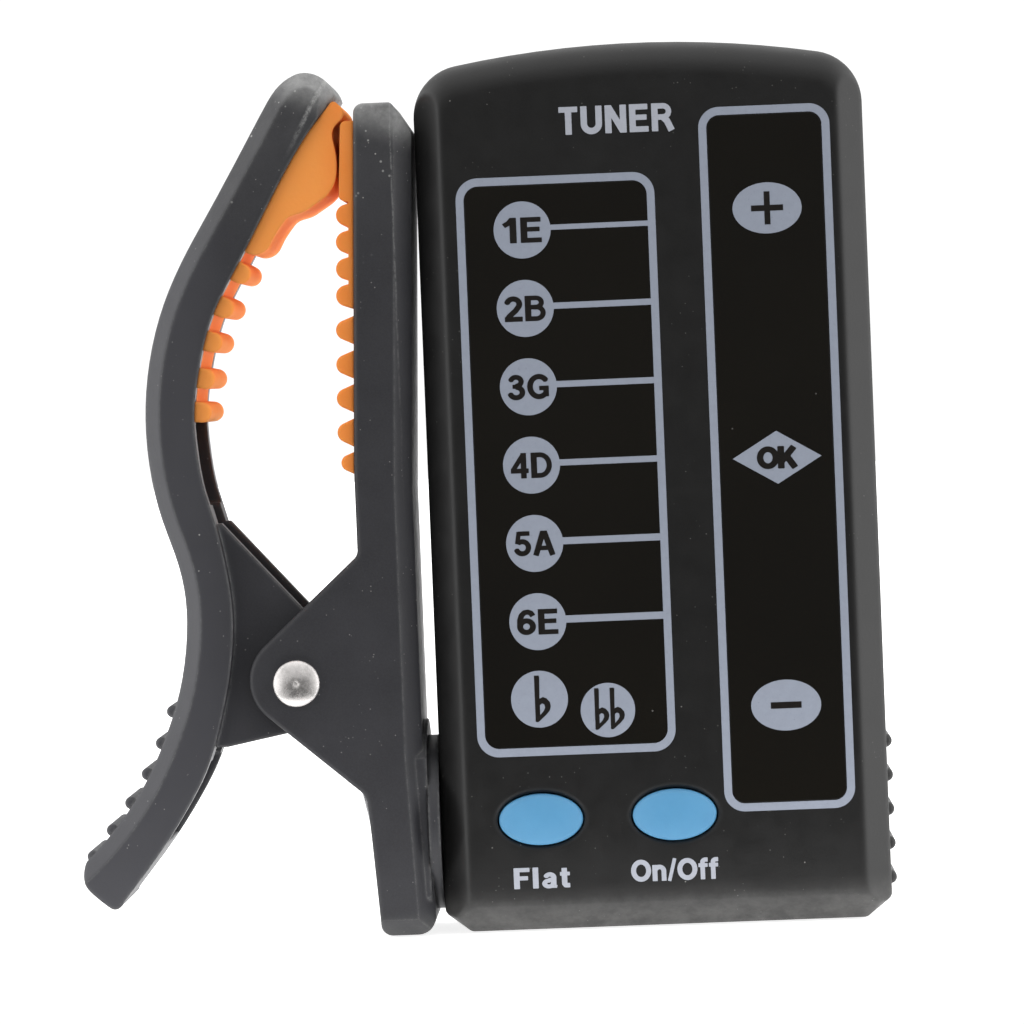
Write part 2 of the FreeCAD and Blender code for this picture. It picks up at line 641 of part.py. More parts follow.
# ------------------------------------------------------------------ swivel
CASE_L = -CASE_W / 2.0
BARREL_X0 = JAW_BACK_X + 0.30
BARREL_X1 = CASE_L - 0.08
NECK_X1 = CASE_L + CASE_WALL + 0.60
FLANGE_X1 = NECK_X1 + 1.10
hub = cyl_x(BARREL_X0, BARREL_X1, 0, SWIVEL_Z, BARREL_R)
hub = hub.fuse(cyl_x(BARREL_X1, NECK_X1, 0, SWIVEL_Z, NECK_R))
hub = hub.fuse(cyl_x(NECK_X1, FLANGE_X1, 0, SWIVEL_Z, HUB_FLANGE_R))
hub = hub.cut(cyl_x(-22, -12, 0, SWIVEL_Z, HUB_BORE_R))
for s in (-1, 1):
    hub = hub.cut(cyl_x(-22, FLANGE_X1 - 0.5, s * HUB_SCREW_Y, SWIVEL_Z, HUB_SCREW_R + 0.02))
hub = hub.cut(fixed_jaw)             # the barrel ends on the foot's slightly flared back
keep("swivel_hub", hub)
ring = cyl_x(CASE_L + CASE_WALL + 0.05, NECK_X1 - 0.02, 0, SWIVEL_Z, 5.1).cut(cyl_x(-20, -10, 0, SWIVEL_Z, NECK_R + 0.03))
keep("swivel_friction_ring", ring)
screws = []
for s in (-1, 1):
    sh = cyl_x(-20.86, FLANGE_X1 - 0.6, s * HUB_SCREW_Y, SWIVEL_Z, HUB_SCREW_R)
    hd = cyl_x(-21.75, -20.90, s * HUB_SCREW_Y, SWIVEL_Z, 1.15)
    hd = soften(hd, 0.3, [e for e in hd.Edges if e.BoundBox.XMax < -21.7])
    sh = sh.fuse(cyl_x(-20.95, -20.8, s * HUB_SCREW_Y, SWIVEL_Z, HUB_SCREW_R))
    slot = box(-21.9, -21.45, s * HUB_SCREW_Y - 0.7, s * HUB_SCREW_Y + 0.7, SWIVEL_Z - 0.14, SWIVEL_Z + 0.14)
    slot2 = box(-21.9, -21.45, s * HUB_SCREW_Y - 0.14, s * HUB_SCREW_Y + 0.14, SWIVEL_Z - 0.7, SWIVEL_Z + 0.7)
    screws.append(sh.fuse(hd).cut(slot).cut(slot2).removeSplitter())
keep("swivel_screws", Part.makeCompound(screws))

# ------------------------------------------------------------------ case outline
def case_points(off):
    """Rounded outline moved inwards by off: closed wire edges in XZ."""
    hw = CASE_W / 2.0 - off
    top = CASE_H - off
    R = TOP_R - off
    zc = top - R
    rc = TOP_CORNER_R - off
    # corner arc tangent to the side (x = hw) and inside the top arc
    cx = hw - rc
    cz = zc + math.sqrt((R - rc) ** 2 - cx ** 2)
    # tangent point on the top arc
    L = math.hypot(cx, cz - zc)
    tx, tz = cx / L * R, zc + (cz - zc) / L * R
    k = off * 0.45
    return hw, top, zc, R, rc, cx, cz, tx, tz, FOOT_CH_X - k, FOOT_CH_Z - k, off


def case_wire(off, y):
    hw, top, zc, R, rc, cx, cz, tx, tz, fx, fz, z0 = case_points(off)
    P = lambda x, z: V(x, y, z)
    a45r = math.atan2(tz - cz, tx - cx) / 2.0
    mr = (cx + rc * math.cos(a45r), cz + rc * math.sin(a45r))
    es = [
        Part.LineSegment(P(-hw + fx, z0), P(hw - fx, z0)).toShape(),
        Part.LineSegment(P(hw - fx, z0), P(hw, z0 + fz)).toShape(),
        Part.LineSegment(P(hw, z0 + fz), P(hw, cz)).toShape(),
        Part.Arc(P(hw, cz), P(mr[0], mr[1]), P(tx, tz)).toShape(),
        Part.Arc(P(tx, tz), P(0, top), P(-tx, tz)).toShape(),
        Part.Arc(P(-tx, tz), P(-mr[0], mr[1]), P(-hw, cz)).toShape(),
        Part.LineSegment(P(-hw, cz), P(-hw, z0 + fz)).toShape(),
        Part.LineSegment(P(-hw, z0 + fz), P(-hw + fx, z0)).toShape(),
    ]
    return Part.Wire(es)


def case_slab(off, y0, y1):
    return Part.Face(case_wire(off, y0)).extrude(V(0, y1 - y0, 0))


HT = CASE_T / 2.0
full = case_slab(0.0, -HT, HT)
fe = [e for e in full.Edges if abs(e.BoundBox.YMin + HT) < 1e-5 and abs(e.BoundBox.YMax + HT) < 1e-5]
be = [e for e in full.Edges if abs(e.BoundBox.YMin - HT) < 1e-5 and abs(e.BoundBox.YMax - HT) < 1e-5]
ve = [e for e in full.Edges if abs(e.BoundBox.YMin + HT) < 1e-5 and abs(e.BoundBox.YMax - HT) < 1e-5 and e.BoundBox.ZMax < 5]
t = full.makeFillet(0.7, ve)
if t.isValid():
    full = t
    fe = [e for e in full.Edges if abs(e.BoundBox.YMin + HT) < 1e-5 and abs(e.BoundBox.YMax + HT) < 1e-5]
    be = [e for e in full.Edges if abs(e.BoundBox.YMin - HT) < 1e-5 and abs(e.BoundBox.YMax - HT) < 1e-5]
full = full.makeFillet(FACE_FILLET, fe)
be = [e for e in full.Edges if abs(e.BoundBox.YMin - HT) < 1e-5 and abs(e.BoundBox.YMax - HT) < 1e-5]
full = full.makeFillet(BACK_FILLET, be)
print("case blank valid", full.isValid(), round(full.Volume, 1))


def wedge(p_edge, n):
    """Half space cutter: big box whose face passes through p_edge with outward normal n."""
    n = V(*n).normalize()
    b = Part.makeBox(200, 200, 60, V(-100, -100, 0))
    rot = FreeCAD.Rotation(V(0, 0, 1), n)
    b.Placement = FreeCAD.Placement(V(*p_edge), rot)
    return b


hwc = CASE_W / 2.0
for s in (-1, 1):
    full = full.cut(wedge((s * (hwc - FACE_CH), -HT, 30), (s, -1, 0)))
full = full.cut(wedge((0, -HT, FACE_CH + 0.15), (0, -1, -1.08)))
# grip ribs on the right wall, centred on the swivel axis
SIDE_RIB_Z = [14.10, 11.35, 8.60, 5.85, 3.10]
for z in SIDE_RIB_Z:
    bar = cyl_y(hwc - 0.08, z, 0.55, -4.4, 4.4)
    bar = soften(bar, 0.35, [e for e in bar.Edges if abs(e.BoundBox.YMin - e.BoundBox.YMax) < 1e-5])
    full = full.fuse(bar)
full = full.removeSplitter()
print("case full valid", full.isValid(), round(full.Volume, 1), full.BoundBox)

cav = case_slab(CASE_WALL, -HT + CASE_WALL, HT - CASE_WALL)
shell = full.cut(cav)
# bore for the swivel's neck through the left wall
shell = shell.cut(cyl_x(-20, -15.5, 0, SWIVEL_Z, NECK_R + NECK_FIT))

front = shell.common(box(-30, 30, -10, -SEAM, -5, 80))
rear = shell.common(box(-30, 30, SEAM, 10, -5, 80))
# tongue and rebate along the parting line
rebate = case_slab(0.80, -TONGUE - 0.1, 0.2).cut(case_slab(CASE_WALL + 0.01, -TONGUE - 0.2, 0.3))
front = front.cut(rebate)
tongue = case_slab(0.88, -TONGUE, 0.8).cut(case_slab(CASE_WALL + 0.0, -TONGUE - 0.2, 1.0))
tongue = tongue.cut(box(-20, -15, -1.2, SEAM, 0, 16)).cut(cyl_x(-20, -15.2, 0, SWIVEL_Z, NECK_R + 1.4))
rear = rear.fuse(tongue)


# ------------------------------------------------------------------ front shell details
def rrect(x0, x1, z0, z1, r):
    return [(x0, z0, r), (x1, z0, r), (x1, z1, r), (x0, z1, r)]


def ellipse_prism(cx, cz, a, b, y0, y1):
    e = Part.Ellipse(V(cx, y0, cz), a, b)
    # major axis along X in the XZ plane
    e = Part.Ellipse(V(cx + a, y0, cz), V(cx, y0, cz + b), V(cx, y0, cz))
    return Part.Face(Part.Wire([e.toShape()])).extrude(V(0, y1 - y0, 0))


for (x0, x1, z0, z1) in (STRING_WIN, PITCH_WIN):
    f = LENS_FIT
    front = front.cut(prism(rrect(x0 - f, x1 + f, z0 - f, z1 + f, LENS_R + f), -HT - 1, -HT + LENS_T + 0.05))
    front = front.cut(prism(rrect(x0 + LEDGE, x1 - LEDGE, z0 + LEDGE, z1 - LEDGE, 0.6), -HT - 1, -HT + CASE_WALL + 0.5))
for k in BTN_X:
    hole = ellipse_prism(BTN_X[k], BTN_Z, BTN_A + BTN_GAP, BTN_B + BTN_GAP, -HT - 1, -HT + CASE_WALL + 0.5)
    front = front.cut(hole)
in_y = -HT + CASE_WALL
for (x, z) in CASE_SCREWS:
    b = cyl_y(x, z, 2.1, in_y - 0.4, -SEAM - 0.02).common(case_slab(CASE_WALL + 0.04, -9, 9))
    front = front.fuse(b)
    front = front.cut(cyl_y(x, z, 0.82, in_y + 0.6, 1))
for (x, z) in BOARD_SCREWS:
    front = front.fuse(cyl_y(x, z, 1.7, in_y - 0.3, BOARD_Y0 - 0.02))
    front = front.cut(cyl_y(x, z, 0.72, in_y + 0.3, 1))
front = front.removeSplitter()
keep("front_shell", front)

# lenses, set in flush; the face of each stands 0.03 below the case's face
for name, (x0, x1, z0, z1) in (("string_window", STRING_WIN), ("pitch_window", PITCH_WIN)):
    lens = prism(rrect(x0, x1, z0, z1, LENS_R), -HT + 0.03, -HT + LENS_T)
    lens = soften(lens, 0.08, [e for e in lens.Edges if abs(e.BoundBox.YMax + HT - 0.03) < 1e-4])
    keep(name, lens)

# ------------------------------------------------------------------ light masks and LEDs
STRING_Z = [56.24, 49.97, 43.70, 37.43, 31.16, 24.89]
LED_STRING = [(-3.4, z) for z in STRING_Z] + [(-9.69, 18.68), (-4.25, 17.60)]
LED_PITCH = [(10.03, 37.30 + k * 3.55) for k in range(-5, 6)]
mask_y0, mask_y1 = -HT + CASE_WALL + 0.08, BOARD_Y0 - 0.05


def led_mask(x0, x1, z0, z1, cells):
    m = box(x0, x1, mask_y0, mask_y1, z0, z1)
    for (cx, cz, a, b) in cells:
        # each cell widens from the LED towards the lens
        m = m.cut(prism(rrect(cx - a, cx + a, cz - b, cz + b, 0.4), mask_y0 - 1, mask_y0 + 1.6))
        m = m.cut(box(cx - 1.0, cx + 1.0, mask_y0 - 1, mask_y1 + 1, cz - 0.75, cz + 0.75))
    return m


smask = led_mask(-13.3, 0.0, 15.4, 59.2,
                 [(x, z, 3.0, 1.5) for (x, z) in LED_STRING[:6]] + [(x, z, 1.9, 1.9) for (x, z) in LED_STRING[6:]])
keep("string_light_mask", smask)
pmask = led_mask(5.9, 14.2, 10.4, 64.1, [(x, z, 2.6, 1.35) for (x, z) in LED_PITCH])
keep("pitch_light_mask", pmask)


def led(x, z):
    base = box(x - 0.8, x + 0.8, BOARD_Y0 - 0.35, BOARD_Y0, z - 0.42, z + 0.42)
    dome = box(x - 0.5, x + 0.5, BOARD_Y0 - 0.75, BOARD_Y0 - 0.35, z - 0.42, z + 0.42)
    return base.fuse(dome)


keep("string_leds", Part.makeCompound([led(x, z).removeSplitter() for x, z in LED_STRING]))
keep("pitch_leds", Part.makeCompound([led(x, z).removeSplitter() for x, z in LED_PITCH]))

# ------------------------------------------------------------------ circuit board
board = prism([(-15.3, 14.9, 0.5), (-13.6, 14.9, 0.5), (-13.6, 6.95, 0.5), (15.3, 6.95, 0.5), (15.3, 64.0, 1.0), (-15.3, 64.0, 1.0)],
              BOARD_Y0, BOARD_Y1)
for (x, z) in BOARD_SCREWS:
    board = board.cut(cyl_y(x, z, 0.90, -5, 5))
keep("circuit_board", board)


def chip(x, z, w, h, t):
    c = box(x - w / 2, x + w / 2, BOARD_Y1 + 0.10, BOARD_Y1 + t, z - h / 2, z + h / 2)
    c = soften(c, 0.12, [e for e in c.Edges if abs(e.BoundBox.YMin - BOARD_Y1 - t) < 1e-4])
    n = int((h - 1.0) // 0.8)
    for s in (-1, 1):
        for i in range(n):
            zz = z - (n - 1) * 0.4 + i * 0.8
            x0, x1 = (x + w / 2 - 0.1, x + w / 2 + 0.8) if s > 0 else (x - w / 2 - 0.8, x - w / 2 + 0.1)
            c = c.fuse(box(x0, x1, BOARD_Y1, BOARD_Y1 + 0.22, zz - 0.18, zz + 0.18))
    return c


keep("tuner_chip", chip(-4.5, 20.5, 6.0, 7.0, 1.1))
keep("amplifier_chip", chip(8.6, 21.0, 3.9, 5.0, 1.2))
xt = cyl_y(8.6, 15.0, 1.6, BOARD_Y1, BOARD_Y1 + 1.3).fuse(cyl_y(8.6 + 2.6, 15.0, 1.6, BOARD_Y1, BOARD_Y1 + 1.3))
xt = xt.fuse(box(8.6, 11.2, BOARD_Y1, BOARD_Y1 + 1.3, 13.4, 16.6)).removeSplitter()
keep("crystal", xt)
bs = []
for (x, z) in BOARD_SCREWS:
    h = cyl_y(x, z, 1.45, BOARD_Y1, BOARD_Y1 + 0.8)
    h = soften(h, 0.3, [e for e in h.Edges if e.BoundBox.YMin > BOARD_Y1 + 0.7])
    s = h.fuse(cyl_y(x, z, 0.70, in_y + 0.5, BOARD_Y1 + 0.1))
    s = s.cut(box(x - 0.8, x + 0.8, BOARD_Y1 + 0.45, BOARD_Y1 + 1, z - 0.14, z + 0.14))
    s = s.cut(box(x - 0.14, x + 0.14, BOARD_Y1 + 0.45, BOARD_Y1 + 1, z - 0.8, z + 0.8))
    bs.append(s.removeSplitter())
keep("board_screws", Part.makeCompound(bs))
# small resistors and capacitors on the board's back
rc = []
for (x, z, w, h) in [(-10, 12.5, 1.6, 0.8), (-10, 14.5, 1.6, 0.8), (-11.5, 20, 0.8, 1.6), (-11.5, 23, 0.8, 1.6), (2.95, 14.5, 2.0, 1.2),
                     (12.9, 20, 0.8, 1.6), (12.9, 23, 0.8, 1.6), (-12.5, 55, 1.6, 0.8), (-12.5, 57.5, 1.6, 0.8), (9.5, 55, 2.0, 1.2), (9.5, 58, 1.6, 0.8)]:
    rc.append(box(x - w / 2, x + w / 2, BOARD_Y1, BOARD_Y1 + 0.55, z - h / 2, z + h / 2))
keep("small_components", Part.makeCompound(rc))

# ------------------------------------------------------------------ buttons and their switches
SW_Y0 = BOARD_Y0 - 1.3
PL_TIP = SW_Y0 - 0.70
for k, x in BTN_X.items():
    name = k
    cap = ellipse_prism(x, BTN_Z, BTN_A, BTN_B, -HT - BTN_PROUD - 0.4, -HT + CASE_WALL + 0.5)
    R = 9.0
    ball = Part.makeSphere(R, V(x, -HT - BTN_PROUD + R, BTN_Z))
    cap = cap.common(ball)
    rim = [e for e in cap.Edges if e.BoundBox.YMax < -HT + 0.5 and e.BoundBox.YMin < -HT + 0.2]
    cap = soften(cap, 0.38, rim)
    flange = ellipse_prism(x, BTN_Z, BTN_A + 0.65, BTN_B + 0.38, in_y + 0.12, in_y + 0.72)
    stem = cyl_y(x, BTN_Z, 1.1, in_y + 0.5, PL_TIP - 0.03)
    keep("%s_button" % name, cap.fuse(flange).fuse(stem))
    body = box(x - 2.25, x + 2.25, SW_Y0, BOARD_Y0, BTN_Z - 1.7, BTN_Z + 1.7)
    body = soften(body, 0.2, [e for e in body.Edges if abs(e.BoundBox.YMax - e.BoundBox.YMin - 1.3) < 1e-4])
    body = body.cut(cyl_y(x, BTN_Z, 0.85, SW_Y0 - 1, BOARD_Y0 - 0.2))
    keep("%s_switch" % name, body)
    keep("%s_switch_plunger" % name, cyl_y(x, BTN_Z, 0.78, PL_TIP, BOARD_Y0 - 0.2 - BTN_TRAVEL - 0.05))

# ------------------------------------------------------------------ rear shell, cell, door
door_open = prism(rrect(-DOOR_X, DOOR_X, CELL_Z - DOOR_Z, CELL_Z + DOOR_Z, 1.2), HT - CASE_WALL - 0.5, HT + 1)
tray = cyl_y(0, CELL_Z, CELL_R + 1.6, CELL_Y0 - 1.0, HT - CASE_WALL + 0.1)
tray = tray.cut(cyl_y(0, CELL_Z, CELL_R + 0.25, CELL_Y0 - 0.02, HT + 1))
tray = tray.cut(box(-3.2, 3.2, 0, 3, CELL_Z - 3.2, CELL_Z + 3.2))           # way for the negative leaf
tray = tray.cut(box(8.5, 14, 0, CELL_Y0 + 3.0, CELL_Z - 2.6, CELL_Z + 2.6))  # way for the positive clip
rear = rear.fuse(tray).cut(door_open)
# lip that the door rests on, above and below the cell
for s in (-1, 1):
    z0 = CELL_Z + s * (DOOR_Z + 0.1)
    zz = sorted((z0, CELL_Z + s * (DOOR_Z - 0.9)))
    lip = box(-6, 6, HT - CASE_WALL - 0.9, HT - CASE_WALL - 0.05, zz[0] - (0.6 if s < 0 else 0), zz[1] + (0.6 if s > 0 else 0))
    lip = lip.cut(cyl_y(0, CELL_Z, CELL_R + 0.25, 0, 9))
    rear = rear.fuse(lip)
for (x, z) in CASE_SCREWS:
    b = cyl_y(x, z, 2.35, SEAM + 0.02, HT - CASE_WALL + 0.3).common(case_slab(CASE_WALL - 0.1, -9, 9))
    rear = rear.fuse(b)
    rear = rear.cut(cyl_y(x, z, 0.95, -1, 9)).cut(cyl_y(x, z, 1.75, HT - 1.75, HT + 1))
rear = rear.removeSplitter()
keep("rear_shell", rear)

DFIT = 0.10
door = prism(rrect(-DOOR_X + DFIT, DOOR_X - DFIT, CELL_Z - DOOR_Z + DFIT, CELL_Z + DOOR_Z - DFIT, 1.1), HT - CASE_WALL + 0.05, HT - 0.02)
door = soften(door, 0.18, [e for e in door.Edges if abs(e.BoundBox.YMin - HT + 0.02) < 1e-4])
# three raised grip bars and a thumb notch at the top edge
for dz in (4.6, 6.1, 7.6):
    g = cyl_x(-4.5, 4.5, HT - 0.10, CELL_Z + dz, 0.38)
    g = g.common(box(-9, 9, 0, HT + 0.22, 0, 80))
    door = door.fuse(g)
# two ribs inside that hold the cell
for x in (-5.5, 5.5):
    door = door.fuse(box(x - 0.5, x + 0.5, CELL_Y0 + CELL_T + 0.12, HT - CASE_WALL + 0.2, CELL_Z - 7.0, CELL_Z + 7.0))
keep("battery_door", door)

cell = cyl_y(0, CELL_Z, CELL_R, CELL_Y0 + 0.35, CELL_Y0 + CELL_T)
cell = soften(cell, 0.35, [e for e in cell.Edges if e.BoundBox.YMin > CELL_Y0 + CELL_T - 0.01])
cap_neg = cyl_y(0, CELL_Z, CELL_R - 1.4, CELL_Y0, CELL_Y0 + 0.5)
cap_neg = soften(cap_neg, 0.2, [e for e in cap_neg.Edges if e.BoundBox.YMax < CELL_Y0 + 0.01])
keep("coin_cell", cell.fuse(cap_neg))

# contacts: bent strip, soldered to the board's back
neg = box(-2.6, 2.6, BOARD_Y1, BOARD_Y1 + 0.2, CELL_Z - 2.0, CELL_Z - 0.2)
neg = neg.fuse(box(-2.6, 2.6, BOARD_Y1, CELL_Y0 - 0.02, CELL_Z - 0.4, CELL_Z - 0.2))
neg = neg.fuse(box(-2.6, 2.6, CELL_Y0 - 0.22, CELL_Y0 - 0.02, CELL_Z - 0.4, CELL_Z + 2.9))
keep("battery_contact_negative", neg)
pos = box(CELL_R + 0.05, CELL_R + 0.25, BOARD_Y1, CELL_Y0 + 2.6, CELL_Z - 2.2, CELL_Z + 2.2)
pos = pos.fuse(box(CELL_R + 0.05, CELL_R + 2.0, BOARD_Y1, BOARD_Y1 + 0.2, CELL_Z - 2.2, CELL_Z + 2.2))
keep("battery_contact_positive", pos)

# case screws, from the back
cs = []
for (x, z) in CASE_SCREWS:
    h = cyl_y(x, z, 1.6, HT - 1.72, HT - 0.55)
    h = soften(h, 0.35, [e for e in h.Edges if e.BoundBox.YMin > HT - 0.56])
    s = h.fuse(cyl_y(x, z, 0.80, in_y + 1.0, HT - 1.6))
    s = s.cut(box(x - 0.95, x + 0.95, HT - 1.05, HT, z - 0.17, z + 0.17))
    s = s.cut(box(x - 0.17, x + 0.17, HT - 1.05, HT, z - 0.95, z + 0.95))
    cs.append(s.removeSplitter())
keep("case_screws", Part.makeCompound(cs))

# tuner side of the pickup lead: from the swivel's bore to the board's back
keep("board_lead", tube([(-14.98, 0, SWIVEL_Z), (-11.6, 0, SWIVEL_Z), (-11.6, 0, 18.6), (-11.6, BOARD_Y1, 18.6)], [1.9, 1.45], LEAD_R))

# ------------------------------------------------------------------ summary
allb = Part.makeCompound(list(PARTS.values())).BoundBox
print("nodes", len(PARTS))
print("box x %.3f..%.3f  y %.3f..%.3f  z %.3f..%.3f" % (allb.XMin, allb.XMax, allb.YMin, allb.YMax, allb.ZMin, allb.ZMax))
print("centre x %.3f y %.3f" % ((allb.XMin + allb.XMax) / 2, (allb.YMin + allb.YMax) / 2))
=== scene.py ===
import json
import math

import bpy
import numpy as np
from mathutils import Matrix, Vector

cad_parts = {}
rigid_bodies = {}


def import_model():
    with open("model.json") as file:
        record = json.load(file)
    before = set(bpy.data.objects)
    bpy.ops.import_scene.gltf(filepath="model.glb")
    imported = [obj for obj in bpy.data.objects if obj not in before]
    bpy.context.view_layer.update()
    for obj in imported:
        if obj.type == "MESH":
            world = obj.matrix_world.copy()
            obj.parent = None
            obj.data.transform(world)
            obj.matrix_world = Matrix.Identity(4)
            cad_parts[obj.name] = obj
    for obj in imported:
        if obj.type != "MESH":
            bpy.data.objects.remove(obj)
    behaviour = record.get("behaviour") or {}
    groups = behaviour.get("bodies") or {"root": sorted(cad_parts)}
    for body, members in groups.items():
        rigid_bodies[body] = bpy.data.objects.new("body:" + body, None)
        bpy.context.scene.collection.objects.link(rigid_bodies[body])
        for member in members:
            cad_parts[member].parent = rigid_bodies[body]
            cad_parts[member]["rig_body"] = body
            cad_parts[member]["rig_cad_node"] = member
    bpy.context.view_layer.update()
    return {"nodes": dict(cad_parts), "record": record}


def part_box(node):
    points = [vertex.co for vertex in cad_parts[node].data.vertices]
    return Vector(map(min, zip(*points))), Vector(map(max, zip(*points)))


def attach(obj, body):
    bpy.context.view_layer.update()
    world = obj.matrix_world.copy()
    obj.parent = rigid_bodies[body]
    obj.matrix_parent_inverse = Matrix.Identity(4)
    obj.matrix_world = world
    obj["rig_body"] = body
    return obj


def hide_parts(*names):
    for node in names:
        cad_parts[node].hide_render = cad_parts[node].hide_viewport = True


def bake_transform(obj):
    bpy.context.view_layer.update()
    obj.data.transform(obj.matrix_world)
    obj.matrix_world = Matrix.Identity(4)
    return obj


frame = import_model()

NODES = frame["nodes"]
scene = bpy.context.scene

# ---------------------------------------------------------------- places, in metres, from the CAD nodes
SX, SY = 0.0142261, 0.000175                  # from the case's centre line and the swivel's plane to the row frame


def mm(x, y, z):
    return Vector((x / 1000.0 + SX, y / 1000.0 + SY, z / 1000.0))


case_lo, case_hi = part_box("front_shell")
lens_lo, lens_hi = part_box("string_window")
FACE_Y = case_lo.y                            # the case's front face
LENS_Y = lens_lo.y                            # the lens's front face


# ---------------------------------------------------------------- material helpers
def new_mat(name):
    m = bpy.data.materials.new(name)
    m.use_nodes = True
    nt = m.node_tree
    nt.nodes.clear()
    out = nt.nodes.new("ShaderNodeOutputMaterial")
    sh = nt.nodes.new("ShaderNodeBsdfPrincipled")
    nt.links.new(sh.outputs["BSDF"], out.inputs["Surface"])
    return m, nt, sh


def obj_vec(nt, scale=(1, 1, 1), loc=(0, 0, 0)):
    tc = nt.nodes.new("ShaderNodeTexCoord")
    mp = nt.nodes.new("ShaderNodeMapping")
    mp.inputs["Scale"].default_value = scale
    mp.inputs["Location"].default_value = loc
    nt.links.new(tc.outputs["Object"], mp.inputs["Vector"])
    return mp.outputs["Vector"]


def noise(nt, vec, scale, detail=3.0, rough=0.55, dist=0.0):
    n = nt.nodes.new("ShaderNodeTexNoise")
    n.inputs["Scale"].default_value = scale
    n.inputs["Detail"].default_value = detail
    n.inputs["Roughness"].default_value = rough
    n.inputs["Distortion"].default_value = dist
    nt.links.new(vec, n.inputs["Vector"])
    return n.outputs["Fac"]


def voronoi(nt, vec, scale, feature="F1", out="Distance"):
    n = nt.nodes.new("ShaderNodeTexVoronoi")
    n.feature = feature
    n.inputs["Scale"].default_value = scale
    nt.links.new(vec, n.inputs["Vector"])
    return n.outputs[out]


def ramp(nt, fac, stops, interp="LINEAR"):
    r = nt.nodes.new("ShaderNodeValToRGB")
    r.color_ramp.interpolation = interp
    els = r.color_ramp.elements
    while len(els) > 1:
        els.remove(els[-1])
    els[0].position = stops[0][0]
    els[0].color = (*stops[0][1], 1)
    for p, c in stops[1:]:
        e = els.new(p)
        e.color = (*c, 1)
    nt.links.new(fac, r.inputs["Fac"])
    return r.outputs["Color"]


def g(v):
    return (v, v, v)


def mrange(nt, val, a, b, c, d, smooth=False):
    n = nt.nodes.new("ShaderNodeMapRange")
    if smooth:
        n.interpolation_type = "SMOOTHSTEP"
    n.inputs["From Min"].default_value = a
    n.inputs["From Max"].default_value = b
    n.inputs["To Min"].default_value = c
    n.inputs["To Max"].default_value = d
    nt.links.new(val, n.inputs["Value"])
    return n.outputs["Result"]


def math_n(nt, op, a, b=None):
    n = nt.nodes.new("ShaderNodeMath")
    n.operation = op
    for i, v in enumerate((a, b)):
        if v is None:
            continue
        if isinstance(v, (int, float)):
            n.inputs[i].default_value = v
        else:
            nt.links.new(v, n.inputs[i])
    return n.outputs[0]


def mix_col(nt, fac, a, b):
    n = nt.nodes.new("ShaderNodeMix")
    n.data_type = "RGBA"
    if isinstance(fac, (int, float)):
        n.inputs[0].default_value = fac
    else:
        nt.links.new(fac, n.inputs[0])
    for idx, v in ((6, a), (7, b)):
        if isinstance(v, tuple):
            n.inputs[idx].default_value = (*v, 1)
        else:
            nt.links.new(v, n.inputs[idx])
    return n.outputs[2]


def bump(nt, height, distance, strength=1.0, normal=None):
    b = nt.nodes.new("ShaderNodeBump")
    b.inputs["Distance"].default_value = distance
    b.inputs["Strength"].default_value = strength
    nt.links.new(height, b.inputs["Height"])
    if normal is not None:
        nt.links.new(normal, b.inputs["Normal"])
    return b.outputs["Normal"]


def bevel(nt, radius, samples=6):
    b = nt.nodes.new("ShaderNodeBevel")
    b.samples = samples
    b.inputs["Radius"].default_value = radius
    return b.outputs["Normal"]


def edge_mask(nt, radius, lo, hi):
    """1 along edges of about that radius, 0 on open surfaces."""
    geo = nt.nodes.new("ShaderNodeNewGeometry")
    d = nt.nodes.new("ShaderNodeVectorMath")
    d.operation = "DOT_PRODUCT"
    nt.links.new(bevel(nt, radius), d.inputs[0])
    nt.links.new(geo.outputs["True Normal"], d.inputs[1])
    return mrange(nt, d.outputs["Value"], hi, lo, 0.0, 1.0, True)


def specks(nt, vec, scale, size, keep_scale, keep):
    """Sparse dust specks: small round spots, kept only in some places."""
    d = voronoi(nt, vec, scale)
    spot = mrange(nt, d, size * 0.5, size, 1.0, 0.0, True)
    where = mrange(nt, noise(nt, vec, keep_scale, 2.0), keep, keep + 0.05, 0.0, 1.0)
    return math_n(nt, "MULTIPLY", spot, where)


